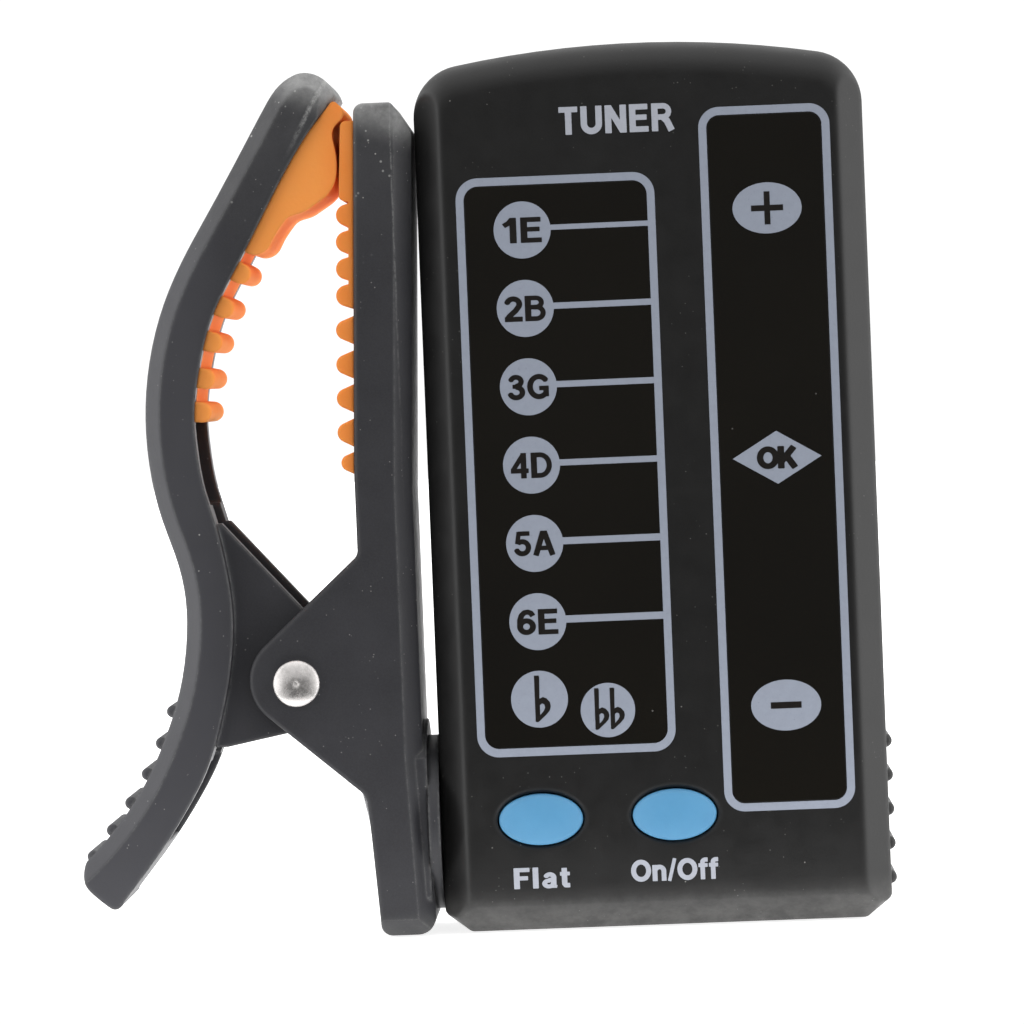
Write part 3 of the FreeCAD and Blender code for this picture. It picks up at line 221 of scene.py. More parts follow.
def plastic(name, col, rough, spec, dust, edge, edge_col, grain, soft=0.00012, var=0.14, grain_scale=7000.0, painted_light_and_dust_bands=(), edge_lo=0.80, paler=None, lines=()):
    m, nt, sh = new_mat(name)
    v = obj_vec(nt)
    xyz = nt.nodes.new("ShaderNodeSeparateXYZ")
    nt.links.new(v, xyz.inputs["Vector"])
    cloud = noise(nt, v, 160.0, 4.0, 0.6)
    lo = tuple(c * (1 - var) for c in col)
    hi = tuple(c * (1 + var) for c in col)
    base = ramp(nt, cloud, [(0.3, lo), (0.7, hi)])
    fine = noise(nt, v, grain_scale, 2.0, 0.6)
    base = mix_col(nt, mrange(nt, fine, 0.35, 0.75, 0.0, 0.35), base, tuple(c * 1.7 for c in col))
    if paler is not None:
        # the part towards -x is a little paler: (x where it starts, x where it is full, gain)
        x0, x1, gain = paler
        base = mix_col(nt, mrange(nt, xyz.outputs["X"], x0, x1, 0.0, 1.0, True), base, tuple(c * gain for c in col))
    if edge > 0:
        em = edge_mask(nt, 0.00034, edge_lo, 0.985)
        em = math_n(nt, "MULTIPLY", em, mrange(nt, noise(nt, v, 1300.0, 6.0, 0.75), 0.40, 0.66, 0.10, 1.0))
        em = math_n(nt, "MULTIPLY", em, edge)
        base = mix_col(nt, em, base, edge_col)
    # bands towards one end, painted light with dust flecks: lighter tops are painted light from above, lighter feet are
    # a painted floor reflection: (height where it starts, height where it is full, amount, colour, flecks, lean)
    for z0, z1, amount, band_colour, flecks, lean in painted_light_and_dust_bands:
        level = math_n(nt, "ADD", xyz.outputs["Z"], math_n(nt, "MULTIPLY", xyz.outputs["X"], lean))
        up_z = mrange(nt, level, z0, z1, 0.0, 1.0, True)
        cl = mrange(nt, noise(nt, v, 520.0, 6.0, 0.75), 0.36, 0.66, 0.45, 1.0)
        base = mix_col(nt, math_n(nt, "MULTIPLY", math_n(nt, "MULTIPLY", up_z, cl), amount), base, band_colour)
        if flecks > 0:
            fl = specks(nt, v, 1300.0, 0.16, 260.0, 0.50)
            base = mix_col(nt, math_n(nt, "MULTIPLY", math_n(nt, "MULTIPLY", fl, up_z), flecks), base, (0.45, 0.45, 0.43))
    # worn lines: (x, z of one end, x, z of the other, half width, amount), on the near side only
    for ax, az, bx, bz, wid, amount in lines:
        L_ = math.hypot(bx - ax, bz - az)
        tx, tz = (bx - ax) / L_, (bz - az) / L_
        px = math_n(nt, "SUBTRACT", xyz.outputs["X"], ax)
        pz = math_n(nt, "SUBTRACT", xyz.outputs["Z"], az)
        along = math_n(nt, "ADD", math_n(nt, "MULTIPLY", px, tx), math_n(nt, "MULTIPLY", pz, tz))
        across = math_n(nt, "SUBTRACT", math_n(nt, "MULTIPLY", px, -tz), math_n(nt, "MULTIPLY", pz, -tx))
        across = math_n(nt, "ABSOLUTE", math_n(nt, "ADD", across, mrange(nt, noise(nt, v, 330.0, 3.0), 0.3, 0.7, -wid * 0.5, wid * 0.5)))
        m1 = mrange(nt, across, wid * 0.25, wid, 1.0, 0.0, True)
        m2 = mrange(nt, along, 0.0, L_, 1.0, 0.0, True)
        m3 = mrange(nt, xyz.outputs["Y"], -0.0043, -0.0048, 0.0, 1.0)
        m4 = mrange(nt, noise(nt, v, 1900.0, 5.0, 0.8), 0.40, 0.56, 0.0, 1.0)
        mk = math_n(nt, "MULTIPLY", math_n(nt, "MULTIPLY", m1, m2), math_n(nt, "MULTIPLY", m3, m4))
        base = mix_col(nt, math_n(nt, "MULTIPLY", mk, amount), base, (0.40, 0.40, 0.39))
    if dust > 0:
        sp = specks(nt, v, 640.0, 0.052, 190.0, 0.52)
        sp2 = specks(nt, v, 1900.0, 0.11, 330.0, 0.54)
        both = math_n(nt, "MAXIMUM", sp, math_n(nt, "MULTIPLY", sp2, 0.6))
        base = mix_col(nt, math_n(nt, "MULTIPLY", both, dust), base, (0.42, 0.41, 0.39))
    nt.links.new(base, sh.inputs["Base Color"])
    r = mrange(nt, noise(nt, v, 420.0, 4.0, 0.65), 0.3, 0.7, rough - 0.05, rough + 0.06)
    nt.links.new(r, sh.inputs["Roughness"])
    sh.inputs["Specular IOR Level"].default_value = spec
    n0 = bevel(nt, soft, 8) if soft > 0 else None
    n1 = bump(nt, noise(nt, v, grain_scale * 0.55, 3.0, 0.6), grain, 1.0, n0)
    n2 = bump(nt, noise(nt, v, 90.0, 2.0, 0.5), 0.00003, 0.5, n1)
    nt.links.new(n2, sh.inputs["Normal"])
    return m


def metal(name, col, rough, streak=(1, 1, 1), streak_scale=900.0, marks=0.25, soft=0.00005):
    m, nt, sh = new_mat(name)
    v = obj_vec(nt)
    sv = obj_vec(nt, streak)
    s = noise(nt, sv, streak_scale, 5.0, 0.65)
    base = ramp(nt, s, [(0.25, tuple(c * 0.80 for c in col)), (0.75, tuple(min(1, c * 1.12) for c in col))])
    tar = mrange(nt, noise(nt, v, 620.0, 5.0, 0.7), 0.55, 0.78, 0.0, marks)
    base = mix_col(nt, tar, base, tuple(c * 0.45 for c in col))
    nt.links.new(base, sh.inputs["Base Color"])
    sh.inputs["Metallic"].default_value = 1.0
    r = mrange(nt, s, 0.25, 0.75, rough * 0.75, rough * 1.35)
    nt.links.new(r, sh.inputs["Roughness"])
    n1 = bump(nt, s, 0.000006, 1.0, bevel(nt, soft))
    nt.links.new(n1, sh.inputs["Normal"])
    return m


M = {}
# bands of jaw_plastic: the first lightens the top as painted light from above, with dust flecks; the second is a
# painted highlight along the top edge
# the third band of jaw_plastic lightens the foot as a painted floor reflection
M["jaw_plastic"] = plastic("jaw_plastic", (0.0285, 0.0285, 0.0325), 0.44, 0.42, 0.9, 0.62, (0.22, 0.22, 0.215), 0.000014, 0.00055,
                           painted_light_and_dust_bands=((0.0520, 0.0690, 0.30, (0.11, 0.11, 0.109), 0.85, 0.0), (0.0606, 0.0643, 0.95, (0.36, 0.36, 0.355), 0.0, 0.417),
                                  (0.0022, 0.0002, 0.55, (0.095, 0.095, 0.092), 0.0, 0.0)),
                           edge_lo=0.895, paler=(-0.0175, -0.0235, 1.75),
                           lines=((-0.01060, 0.0690, -0.01440, 0.0622, 0.00026, 0.85), (-0.00560, 0.0668, -0.00575, 0.0300, 0.00010, 0.28)))
# the band of case_plastic lightens the foot as a painted floor reflection
M["case_plastic"] = plastic("case_plastic", (0.0084, 0.0082, 0.0081), 0.34, 0.42, 0.45, 0.22, (0.075, 0.074, 0.072), 0.000007, 0.00070,
                            painted_light_and_dust_bands=((0.0040, 0.0003, 0.95, (0.105, 0.103, 0.100), 0.0, 0.0),))
M["mask_plastic"] = plastic("mask_plastic", (0.016, 0.016, 0.016), 0.60, 0.30, 0.2, 0.0, (0.05, 0.05, 0.05), 0.00002)
M["switch_body"] = plastic("switch_body", (0.035, 0.035, 0.038), 0.50, 0.40, 0.1, 0.0, (0.05, 0.05, 0.05), 0.00002)
M["chip_epoxy"] = plastic("chip_epoxy", (0.020, 0.020, 0.021), 0.55, 0.40, 0.1, 0.0, (0.05, 0.05, 0.05), 0.00003)
M["lead_jacket"] = plastic("lead_jacket", (0.022, 0.022, 0.024), 0.48, 0.45, 0.3, 0.0, (0.05, 0.05, 0.05), 0.00001)
M["ring_rubber"] = plastic("ring_rubber", (0.018, 0.018, 0.018), 0.75, 0.25, 0.5, 0.0, (0.05, 0.05, 0.05), 0.00003)

# rubber of the grip pads
m, nt, sh = new_mat("grip_rubber")
v = obj_vec(nt)
base = ramp(nt, noise(nt, v, 260.0, 4.0, 0.6), [(0.3, (0.94, 0.290, 0.058)), (0.7, (0.985, 0.325, 0.074))])
xyz = nt.nodes.new("ShaderNodeSeparateXYZ")
nt.links.new(v, xyz.inputs["Vector"])
base = mix_col(nt, mrange(nt, xyz.outputs["X"], -0.0098, -0.0120, 0.0, 0.80, True), base, (1.0, 0.375, 0.090))
em = edge_mask(nt, 0.00035, 0.75, 0.98)
base = mix_col(nt, math_n(nt, "MULTIPLY", em, 0.12), base, (0.98, 0.50, 0.20))
sp = specks(nt, v, 700.0, 0.07, 240.0, 0.58)
base = mix_col(nt, math_n(nt, "MULTIPLY", sp, 0.5), base, (0.95, 0.75, 0.55))
nt.links.new(base, sh.inputs["Base Color"])
sh.inputs["Subsurface Weight"].default_value = 0.14
sh.inputs["Subsurface Radius"].default_value = (1.0, 0.46, 0.10)
sh.inputs["Subsurface Scale"].default_value = 0.0007
sh.inputs["Specular IOR Level"].default_value = 0.12
nt.links.new(mrange(nt, noise(nt, v, 800.0, 4.0), 0.3, 0.7, 0.74, 0.90), sh.inputs["Roughness"])
n0 = bevel(nt, 0.00030)
n1 = bump(nt, noise(nt, v, 4200.0, 3.0), 0.000016, 1.0, n0)
nt.links.new(bump(nt, noise(nt, v, 420.0, 3.0), 0.00004, 0.5, n1), sh.inputs["Normal"])
M["grip_rubber"] = m

# blue push buttons
m, nt, sh = new_mat("button_blue")
v = obj_vec(nt)
base = ramp(nt, noise(nt, v, 300.0, 4.0, 0.6), [(0.3, (0.093, 0.300, 0.520)), (0.7, (0.108, 0.330, 0.560))])
em = edge_mask(nt, 0.00040, 0.75, 0.98)
base = mix_col(nt, math_n(nt, "MULTIPLY", em, 0.35), base, (0.070, 0.240, 0.440))
sp = specks(nt, v, 700.0, 0.06, 300.0, 0.60)
base = mix_col(nt, math_n(nt, "MULTIPLY", sp, 0.5), base, (0.45, 0.68, 0.85))
nt.links.new(base, sh.inputs["Base Color"])
sh.inputs["Specular IOR Level"].default_value = 0.40
sh.inputs["Subsurface Weight"].default_value = 0.08
sh.inputs["Subsurface Radius"].default_value = (0.3, 0.6, 1.0)
sh.inputs["Subsurface Scale"].default_value = 0.0004
nt.links.new(mrange(nt, noise(nt, v, 900.0, 4.0), 0.3, 0.7, 0.36, 0.50), sh.inputs["Roughness"])
nt.links.new(bump(nt, noise(nt, v, 5200.0, 3.0), 0.000010, 1.0, bevel(nt, 0.00015)), sh.inputs["Normal"])
M["button_blue"] = m

# smoked windows
m, nt, sh = new_mat("smoked_lens")
v = obj_vec(nt)
base = ramp(nt, noise(nt, v, 55.0, 3.0, 0.5), [(0.3, (0.0030, 0.0022, 0.0010)), (0.7, (0.0050, 0.0038, 0.0018))])
sv = obj_vec(nt, (1.0, 1.0, 0.10))
scr = mrange(nt, noise(nt, sv, 2600.0, 2.0, 0.5, 0.6), 0.735, 0.80, 0.0, 1.0, True)
where = mrange(nt, noise(nt, v, 110.0, 2.0), 0.52, 0.66, 0.0, 1.0)
scr = math_n(nt, "MULTIPLY", scr, where)
base = mix_col(nt, math_n(nt, "MULTIPLY", scr, 0.10), base, (0.25, 0.24, 0.22))
sp = specks(nt, v, 520.0, 0.05, 210.0, 0.61)
base = mix_col(nt, math_n(nt, "MULTIPLY", sp, 0.45), base, (0.35, 0.34, 0.32))
nt.links.new(base, sh.inputs["Base Color"])
sh.inputs["IOR"].default_value = 1.49
sh.inputs["Specular IOR Level"].default_value = 0.50
sh.inputs["Coat Weight"].default_value = 0.0
r = math_n(nt, "ADD", mrange(nt, noise(nt, v, 240.0, 4.0), 0.3, 0.7, 0.10, 0.16), math_n(nt, "MULTIPLY", scr, 0.2))
nt.links.new(r, sh.inputs["Roughness"])
nt.links.new(bump(nt, noise(nt, v, 120.0, 2.0), 0.00002, 0.25, bevel(nt, 0.00008)), sh.inputs["Normal"])
M["smoked_lens"] = m

M["rivet_steel"] = metal("rivet_steel", (0.80, 0.77, 0.755), 0.24, (1, 1, 1), 1900.0, 0.45, 0.00040)
M["spring_steel"] = metal("spring_steel", (0.42, 0.42, 0.43), 0.26, (1, 1, 1), 1800.0, 0.35)
M["screw_steel"] = metal("screw_steel", (0.50, 0.50, 0.52), 0.30, (1, 1, 1), 1500.0, 0.40)
M["pickup_brass"] = metal("pickup_brass", (0.80, 0.58, 0.25), 0.24, (1, 1, 1), 900.0, 0.25)
M["can_metal"] = metal("can_metal", (0.62, 0.62, 0.63), 0.30, (1, 6, 1), 700.0, 0.20)
M["cell_steel"] = metal("cell_steel", (0.64, 0.64, 0.65), 0.25, (1, 1, 9), 420.0, 0.20)
M["contact_plate"] = metal("contact_plate", (0.66, 0.62, 0.54), 0.28, (8, 1, 1), 500.0, 0.25)

# silvered ceramic of the pickup
m, nt, sh = new_mat("pickup_ceramic")
v = obj_vec(nt)
nt.links.new(ramp(nt, noise(nt, v, 2600.0, 5.0, 0.7), [(0.3, (0.62, 0.60, 0.55)), (0.7, (0.82, 0.80, 0.75))]), sh.inputs["Base Color"])
nt.links.new(mrange(nt, noise(nt, v, 1500.0, 4.0), 0.3, 0.7, 0.35, 0.60), sh.inputs["Roughness"])
nt.links.new(bump(nt, noise(nt, v, 6000.0, 3.0), 0.00001), sh.inputs["Normal"])
M["pickup_ceramic"] = m

# light emitting diodes in clear epoxy
m, nt, sh = new_mat("led_package")
v = obj_vec(nt)
nt.links.new(ramp(nt, noise(nt, v, 900.0, 3.0), [(0.3, (0.70, 0.70, 0.60)), (0.7, (0.85, 0.85, 0.78))]), sh.inputs["Base Color"])
nt.links.new(mrange(nt, noise(nt, v, 1500.0, 3.0), 0.3, 0.7, 0.08, 0.20), sh.inputs["Roughness"])
sh.inputs["Transmission Weight"].default_value = 0.35
nt.links.new(bump(nt, noise(nt, v, 900.0, 2.0), 0.00001), sh.inputs["Normal"])
M["led_package"] = m

# circuit board: solder mask over copper tracks and weave
m, nt, sh = new_mat("board_laminate")
v = obj_vec(nt)
br = nt.nodes.new("ShaderNodeTexBrick")
br.inputs["Scale"].default_value = 420.0
br.inputs["Mortar Size"].default_value = 0.030
br.inputs["Color1"].default_value = (0, 0, 0, 1)
br.inputs["Color2"].default_value = (0.15, 0.15, 0.15, 1)
br.inputs["Mortar"].default_value = (1, 1, 1, 1)
rot = nt.nodes.new("ShaderNodeMapping")
rot.inputs["Rotation"].default_value = (math.pi / 2, 0, 0)
nt.links.new(v, rot.inputs["Vector"])
nt.links.new(rot.outputs["Vector"], br.inputs["Vector"])
mask = ramp(nt, noise(nt, v, 260.0, 3.0), [(0.3, (0.010, 0.105, 0.040)), (0.7, (0.014, 0.135, 0.052))])
nt.links.new(mix_col(nt, br.outputs["Color"], mask, (0.030, 0.230, 0.085)), sh.inputs["Base Color"])
nt.links.new(mrange(nt, noise(nt, v, 700.0, 3.0), 0.3, 0.7, 0.22, 0.34), sh.inputs["Roughness"])
nt.links.new(bump(nt, br.outputs["Color"], 0.00003, 0.7), sh.inputs["Normal"])
M["board_laminate"] = m


def ink(name, col, var, spec=0.35, rough=0.5):
    m, nt, sh = new_mat(name)
    v = obj_vec(nt)
    base = ramp(nt, noise(nt, v, 1500.0, 5.0, 0.7),
                [(0.25, tuple(c * (1 - var) for c in col)), (0.75, tuple(c * (1 + var) for c in col))])
    pin = mrange(nt, noise(nt, v, 5200.0, 2.0, 0.6), 0.66, 0.78, 0.0, 0.45)
    base = mix_col(nt, pin, base, tuple(c * 0.6 for c in col))
    nt.links.new(base, sh.inputs["Base Color"])
    sh.inputs["Specular IOR Level"].default_value = spec
    nt.links.new(mrange(nt, noise(nt, v, 2400.0, 4.0), 0.3, 0.7, rough - 0.08, rough + 0.08), sh.inputs["Roughness"])
    nt.links.new(bump(nt, noise(nt, v, 6500.0, 3.0), 0.000006), sh.inputs["Normal"])
    return m


INK = ink("print_ink", (0.310, 0.342, 0.415), 0.05)
INK_WHITE = ink("print_ink_label", (0.44, 0.46, 0.52), 0.06)
DARK = ink("print_dark", (0.0070, 0.0052, 0.0040), 0.25, 0.30, 0.40)

SLOT_OF = {s["node"]: s["material_slot"] for s in frame["record"]["subparts"]}
for name, obj in NODES.items():
    mat = M[SLOT_OF[name]]
    obj.data.materials.clear()
    obj.data.materials.append(mat)

# ---------------------------------------------------------------- printed marks
coll = scene.collection


def flat_piece(name, splines, y_back, y_front, mat, body="tuner_case", round_edge=0.006):
    """A thin printed layer: closed outlines in case millimetres (x, z), holes are inner outlines."""
    cu = bpy.data.curves.new(name + "_c", "CURVE")
    cu.dimensions = "2D"
    cu.fill_mode = "BOTH"
    half = abs(y_back - y_front) / 2.0
    re = min(round_edge, half * 0.6)
    cu.extrude = half - re
    cu.bevel_depth = re
    cu.bevel_resolution = 1
    cu.offset = -re
    for pts in splines:
        sp = cu.splines.new("POLY")
        sp.points.add(len(pts) - 1)
        for p, q in zip(sp.points, pts):
            p.co = (q[0], q[1], 0.0, 1.0)
        sp.use_cyclic_u = True
    return finish_flat(cu, name, y_back, y_front, mat, body)


def finish_flat(cu, name, y_back, y_front, mat, body):
    tmp = bpy.data.objects.new(name + "_tmp", cu)
    coll.objects.link(tmp)
    bpy.context.view_layer.update()
    dg = bpy.context.evaluated_depsgraph_get()
    me = bpy.data.meshes.new_from_object(tmp.evaluated_get(dg))
    bpy.data.objects.remove(tmp)
    bpy.data.curves.remove(cu)
    co = [v.co.copy() for v in me.vertices]
    d0, d1 = min(c.z for c in co), max(c.z for c in co)
    for v_, c in zip(me.vertices, co):
        t = (c.z - d0) / (d1 - d0)
        v_.co = mm(c.x, y_back + (y_front - y_back) * t, c.y)
    me.update()
    obj = bpy.data.objects.new(name, me)
    coll.objects.link(obj)
    me.materials.clear()
    me.materials.append(mat)
    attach(obj, body)
    return obj


# ---- bold sans letters as strokes, drawn on a fine grid and outlined, so that strokes join without overlap
def _arc(cx, cz, rx, rz, a0, a1, n=18):
    return [(cx + rx * math.cos(math.radians(a0 + (a1 - a0) * i / n)), cz + rz * math.sin(math.radians(a0 + (a1 - a0) * i / n))) for i in range(n + 1)]


T, H = 0.195, 0.165          # thickness of stems and of bars, for a cap height of 1
GLYPHS = {                   # width, then strokes as (points, thickness)
    "1": (0.50, [([(0.34, 0.0), (0.34, 1.0)], T), ([(0.04, 0.70), (0.20, 0.80), (0.31, 0.95)], 0.16)]),
    "2": (0.66, [(_arc(0.325, 0.695, 0.225, 0.215, 168, -28) + [(0.40, 0.42), (0.18, 0.22), (0.09, 0.08)], 0.18), ([(0.02, 0.085), (0.64, 0.085)], 0.17)]),
    "3": (0.66, [(_arc(0.32, 0.735, 0.20, 0.185, 165, -90, 20), 0.17), (_arc(0.32, 0.29, 0.235, 0.215, 90, -165, 22), 0.18), ([(0.20, 0.53), (0.34, 0.53)], 0.14)]),
    "4": (0.68, [([(0.49, 0.0), (0.49, 1.0)], 0.18), ([(0.47, 0.93), (0.09, 0.33)], 0.15), ([(0.02, 0.29), (0.66, 0.29)], 0.16)]),
    "5": (0.66, [([(0.17, 0.92), (0.60, 0.92)], 0.16), ([(0.19, 0.98), (0.12, 0.50)], 0.15), (_arc(0.31, 0.33, 0.245, 0.255, 128, -162, 24), 0.18)]),
    "6": (0.66, [(_arc(0.335, 0.325, 0.225, 0.235, 0, 360, 32), 0.18), ([(0.105, 0.34), (0.115, 0.60), (0.17, 0.78), (0.27, 0.89), (0.40, 0.915), (0.50, 0.87), (0.565, 0.76)], 0.17)]),
    "E": (0.70, [([(0.11, 0.0), (0.11, 1.0)], T), ([(0.05, 0.917), (0.66, 0.917)], H), ([(0.05, 0.525), (0.62, 0.525)], 0.155), ([(0.05, 0.083), (0.68, 0.083)], H)]),
    "B": (0.76, [([(0.11, 0.0), (0.11, 1.0)], T), ([(0.05, 0.92), (0.40, 0.92)] + _arc(0.40, 0.735, 0.205, 0.185, 88, -88, 12) + [(0.05, 0.548)], 0.155),
                 ([(0.30, 0.548), (0.42, 0.548)] + _arc(0.42, 0.315, 0.235, 0.233, 88, -88, 12) + [(0.05, 0.082)], 0.16)]),
    "G": (0.84, [(_arc(0.44, 0.50, 0.34, 0.415, 38, 322, 40), 0.185), ([(0.705, 0.10), (0.705, 0.50)], 0.18), ([(0.46, 0.435), (0.79, 0.435)], 0.155)]),
    "D": (0.80, [([(0.11, 0.0), (0.11, 1.0)], T), ([(0.05, 0.918), (0.34, 0.918)] + _arc(0.34, 0.50, 0.345, 0.418, 88, -88, 24) + [(0.05, 0.082)], 0.165)]),
    "A": (0.84, [([(0.09, -0.01), (0.385, 0.94)], T), ([(0.75, -0.01), (0.455, 0.94)], T), ([(0.20, 0.29), (0.64, 0.29)], 0.155), ([(0.30, 0.93), (0.54, 0.93)], 0.14)]),
    "O": (0.88, [(_arc(0.44, 0.50, 0.345, 0.415, 0, 360, 48), 0.185)]),
    "K": (0.80, [([(0.11, 0.0), (0.11, 1.0)], T), ([(0.16, 0.34), (0.66, 0.97)], 0.20), ([(0.33, 0.60), (0.70, 0.01)], 0.20)]),
    "T": (0.68, [([(0.34, 0.0), (0.34, 0.95)], T), ([(0.01, 0.917), (0.67, 0.917)], H)]),
    "U": (0.78, [([(0.11, 1.0), (0.11, 0.38)] + _arc(0.39, 0.36, 0.28, 0.275, 180, 360, 20) + [(0.67, 0.38), (0.67, 1.0)], T)]),
    "N": (0.78, [([(0.11, 0.0), (0.11, 1.0)], T), ([(0.67, 0.0), (0.67, 1.0)], T), ([(0.14, 0.95), (0.64, 0.05)], 0.19)]),
    "R": (0.80, [([(0.11, 0.0), (0.11, 1.0)], T), ([(0.05, 0.918), (0.42, 0.918)] + _arc(0.42, 0.71, 0.215, 0.208, 88, -88, 12) + [(0.05, 0.502)], 0.16), ([(0.42, 0.50), (0.56, 0.36), (0.72, 0.01)], 0.20)]),
    "F": (0.64, [([(0.11, 0.0), (0.11, 1.0)], T), ([(0.05, 0.917), (0.62, 0.917)], H), ([(0.05, 0.505), (0.55, 0.505)], 0.16)]),
    "l": (0.30, [([(0.13, 0.0), (0.13, 1.0)], 0.19)]),
    "a": (0.62, [([(0.46, 0.0), (0.46, 0.46)] + _arc(0.30, 0.49, 0.165, 0.165, 0, 160, 12), 0.165), (_arc(0.255, 0.20, 0.175, 0.145, 75, 360, 22) + [(0.44, 0.26)], 0.155), ([(0.27, 0.385), (0.46, 0.42)], 0.13), ([(0.50, 0.0), (0.52, 0.10)], 0.12)]),
    "t": (0.42, [([(0.17, 0.93), (0.17, 0.17), (0.22, 0.085), (0.37, 0.085)], 0.18), ([(0.01, 0.66), (0.37, 0.66)], 0.14)]),
    "n": (0.64, [([(0.11, 0.0), (0.11, 0.73)], 0.185), (_arc(0.32, 0.455, 0.20, 0.195, 165, 0, 14) + [(0.52, 0.0)], 0.175)]),
    "f": (0.40, [([(0.18, 0.0), (0.18, 0.78)] + _arc(0.32, 0.80, 0.14, 0.12, 180, 95, 8) + [(0.40, 0.92)], 0.165), ([(0.01, 0.66), (0.39, 0.66)], 0.14)]),
    "/": (0.36, [([(0.05, -0.02), (0.31, 1.02)], 0.12)]),
}


def _field(word, gap, step):
    """Signed distance to the word's strokes, on a grid; below 0 inside."""
    x, segs, discs = 0.0, [], []
    for ch in word:
        adv, strokes = GLYPHS[ch]
        for pts, t in strokes:
            q = [(p[0] + x, p[1]) for p in pts]
            for p0, p1 in zip(q[:-1], q[1:]):
                if math.hypot(p1[0] - p0[0], p1[1] - p0[1]) > 1e-9:
                    segs.append((p0, p1, t / 2))
            for p in q[1:-1]:
                discs.append((p, t / 2))
        x += adv + gap
    xs = np.arange(-0.15, x + 0.15, step)
    zs = np.arange(-0.25, 1.25, step)
    X, Z = np.meshgrid(xs, zs)
    D = np.full(X.shape, 9.0)
    for (x0, z0), (x1, z1), h in segs:
        L_ = math.hypot(x1 - x0, z1 - z0)
        ux, uz = (x1 - x0) / L_, (z1 - z0) / L_
        a_ = (X - (x0 + x1) / 2) * ux + (Z - (z0 + z1) / 2) * uz
        b_ = -(X - x0) * uz + (Z - z0) * ux
        dx, dz = np.abs(a_) - L_ / 2, np.abs(b_) - h
        d = np.hypot(np.maximum(dx, 0), np.maximum(dz, 0)) + np.minimum(np.maximum(dx, dz), 0)
        D = np.minimum(D, d)
    for (cx, cz), h in discs:
        D = np.minimum(D, np.hypot(X - cx, Z - cz) - h)
    return xs, zs, D


def _loops(xs, zs, D):
    """Closed outlines of the zero level, by marching squares."""
    nxt = {}
    D = np.where(np.abs(D) < 1e-9, 1e-9, D)
    nz, nx = D.shape
    inside = D < 0

    def cut_h(i, j):
        t = D[j, i] / (D[j, i] - D[j, i + 1])
        return (xs[i] + t * (xs[i + 1] - xs[i]), zs[j])

    def cut_v(i, j):
        t = D[j, i] / (D[j, i] - D[j + 1, i])
        return (xs[i], zs[j] + t * (zs[j + 1] - zs[j]))

    pos = {}
    cells = np.argwhere((inside[:-1, :-1] != inside[1:, :-1]) | (inside[:-1, :-1] != inside[:-1, 1:]) | (inside[:-1, :-1] != inside[1:, 1:]))
    for j, i in cells:
        j, i = int(j), int(i)
        c = (int(inside[j, i]) | int(inside[j, i + 1]) << 1 | int(inside[j + 1, i + 1]) << 2 | int(inside[j + 1, i]) << 3)
        S, E, N, W = ("h", i, j), ("v", i + 1, j), ("h", i, j + 1), ("v", i, j)
        table = {1: [(S, W)], 2: [(E, S)], 3: [(E, W)], 4: [(N, E)], 5: [(S, W), (N, E)], 6: [(N, S)], 7: [(N, W)],
                 8: [(W, N)], 9: [(S, N)], 10: [(W, N), (E, S)], 11: [(E, N)], 12: [(W, E)], 13: [(S, E)], 14: [(W, S)]}
        for a_, b_ in table.get(c, []):
            nxt[a_] = b_
            for k in (a_, b_):
                if k not in pos:
                    pos[k] = cut_h(k[1], k[2]) if k[0] == "h" else cut_v(k[1], k[2])
    loops, left = [], dict(nxt)
    while left:
        k0 = next(iter(left))
        k, loop = k0, []
        while k in left:
            loop.append(pos[k])
            k = left.pop(k)
        if len(loop) > 8:
            loops.append(loop)
    return loops


def _thin_out(loop, tol):
    """Drops points that lie within tol of the line through their neighbours kept."""
    def rdp(pts):
        if len(pts) < 3:
            return pts
        (x0, z0), (x1, z1) = pts[0], pts[-1]
        L_ = math.hypot(x1 - x0, z1 - z0)
        best, k = -1.0, 0
        for i in range(1, len(pts) - 1):
            if L_ < 1e-9:
                d = math.hypot(pts[i][0] - x0, pts[i][1] - z0)
            else:
                d = abs((x1 - x0) * (pts[i][1] - z0) - (z1 - z0) * (pts[i][0] - x0)) / L_
            if d > best:
                best, k = d, i
        if best <= tol:
            return [pts[0], pts[-1]]
        return rdp(pts[:k + 1])[:-1] + rdp(pts[k:])
    half = len(loop) // 2
    return rdp(loop[:half + 1])[:-1] + rdp(loop[half:] + loop[:1])[:-1]


def text_piece(name, word, fit, y_back, y_front, mat, gap=0.09, body="tuner_case", bold=0.016):
    xs, zs, D = _field(word, gap, 0.0125)
    D = D - bold
    loops = [_thin_out(lp_, 0.0022) for lp_ in _loops(xs, zs, D)]
    x0, x1 = min(p[0] for lp_ in loops for p in lp_), max(p[0] for lp_ in loops for p in lp_)
    z0, z1 = min(p[1] for lp_ in loops for p in lp_), max(p[1] for lp_ in loops for p in lp_)
    cx, cz, w_, h_ = fit
    kx, kz = w_ / (x1 - x0), h_ / (z1 - z0)
    loops = [[(cx + (p[0] - (x0 + x1) / 2) * kx, cz + (p[1] - (z0 + z1) / 2) * kz) for p in lp_] for lp_ in loops]
    return flat_piece(name, loops, y_back, y_front, mat, body, 0.004)


def rrect(x0, x1, z0, z1, r, n=12):
    pts = []
    for cx, cz, a0 in ((x1 - r, z1 - r, 0), (x0 + r, z1 - r, 90), (x0 + r, z0 + r, 180), (x1 - r, z0 + r, 270)):
        for i in range(n + 1):
            a = math.radians(a0 + 90.0 * i / n)
            pts.append((cx + r * math.cos(a), cz + r * math.sin(a)))
    return pts


def oval(cx, cz, a, b, n=72):
    return [(cx + a * math.cos(2 * math.pi * i / n), cz + b * math.sin(2 * math.pi * i / n)) for i in range(n)]


F = -7.2            # case face
L = -7.17           # lens face
RING_T = -7.235     # proud of the case face
DISC_T = -7.215     # proud of the lens
LETTER_T = -7.228   # dark letters on the discs

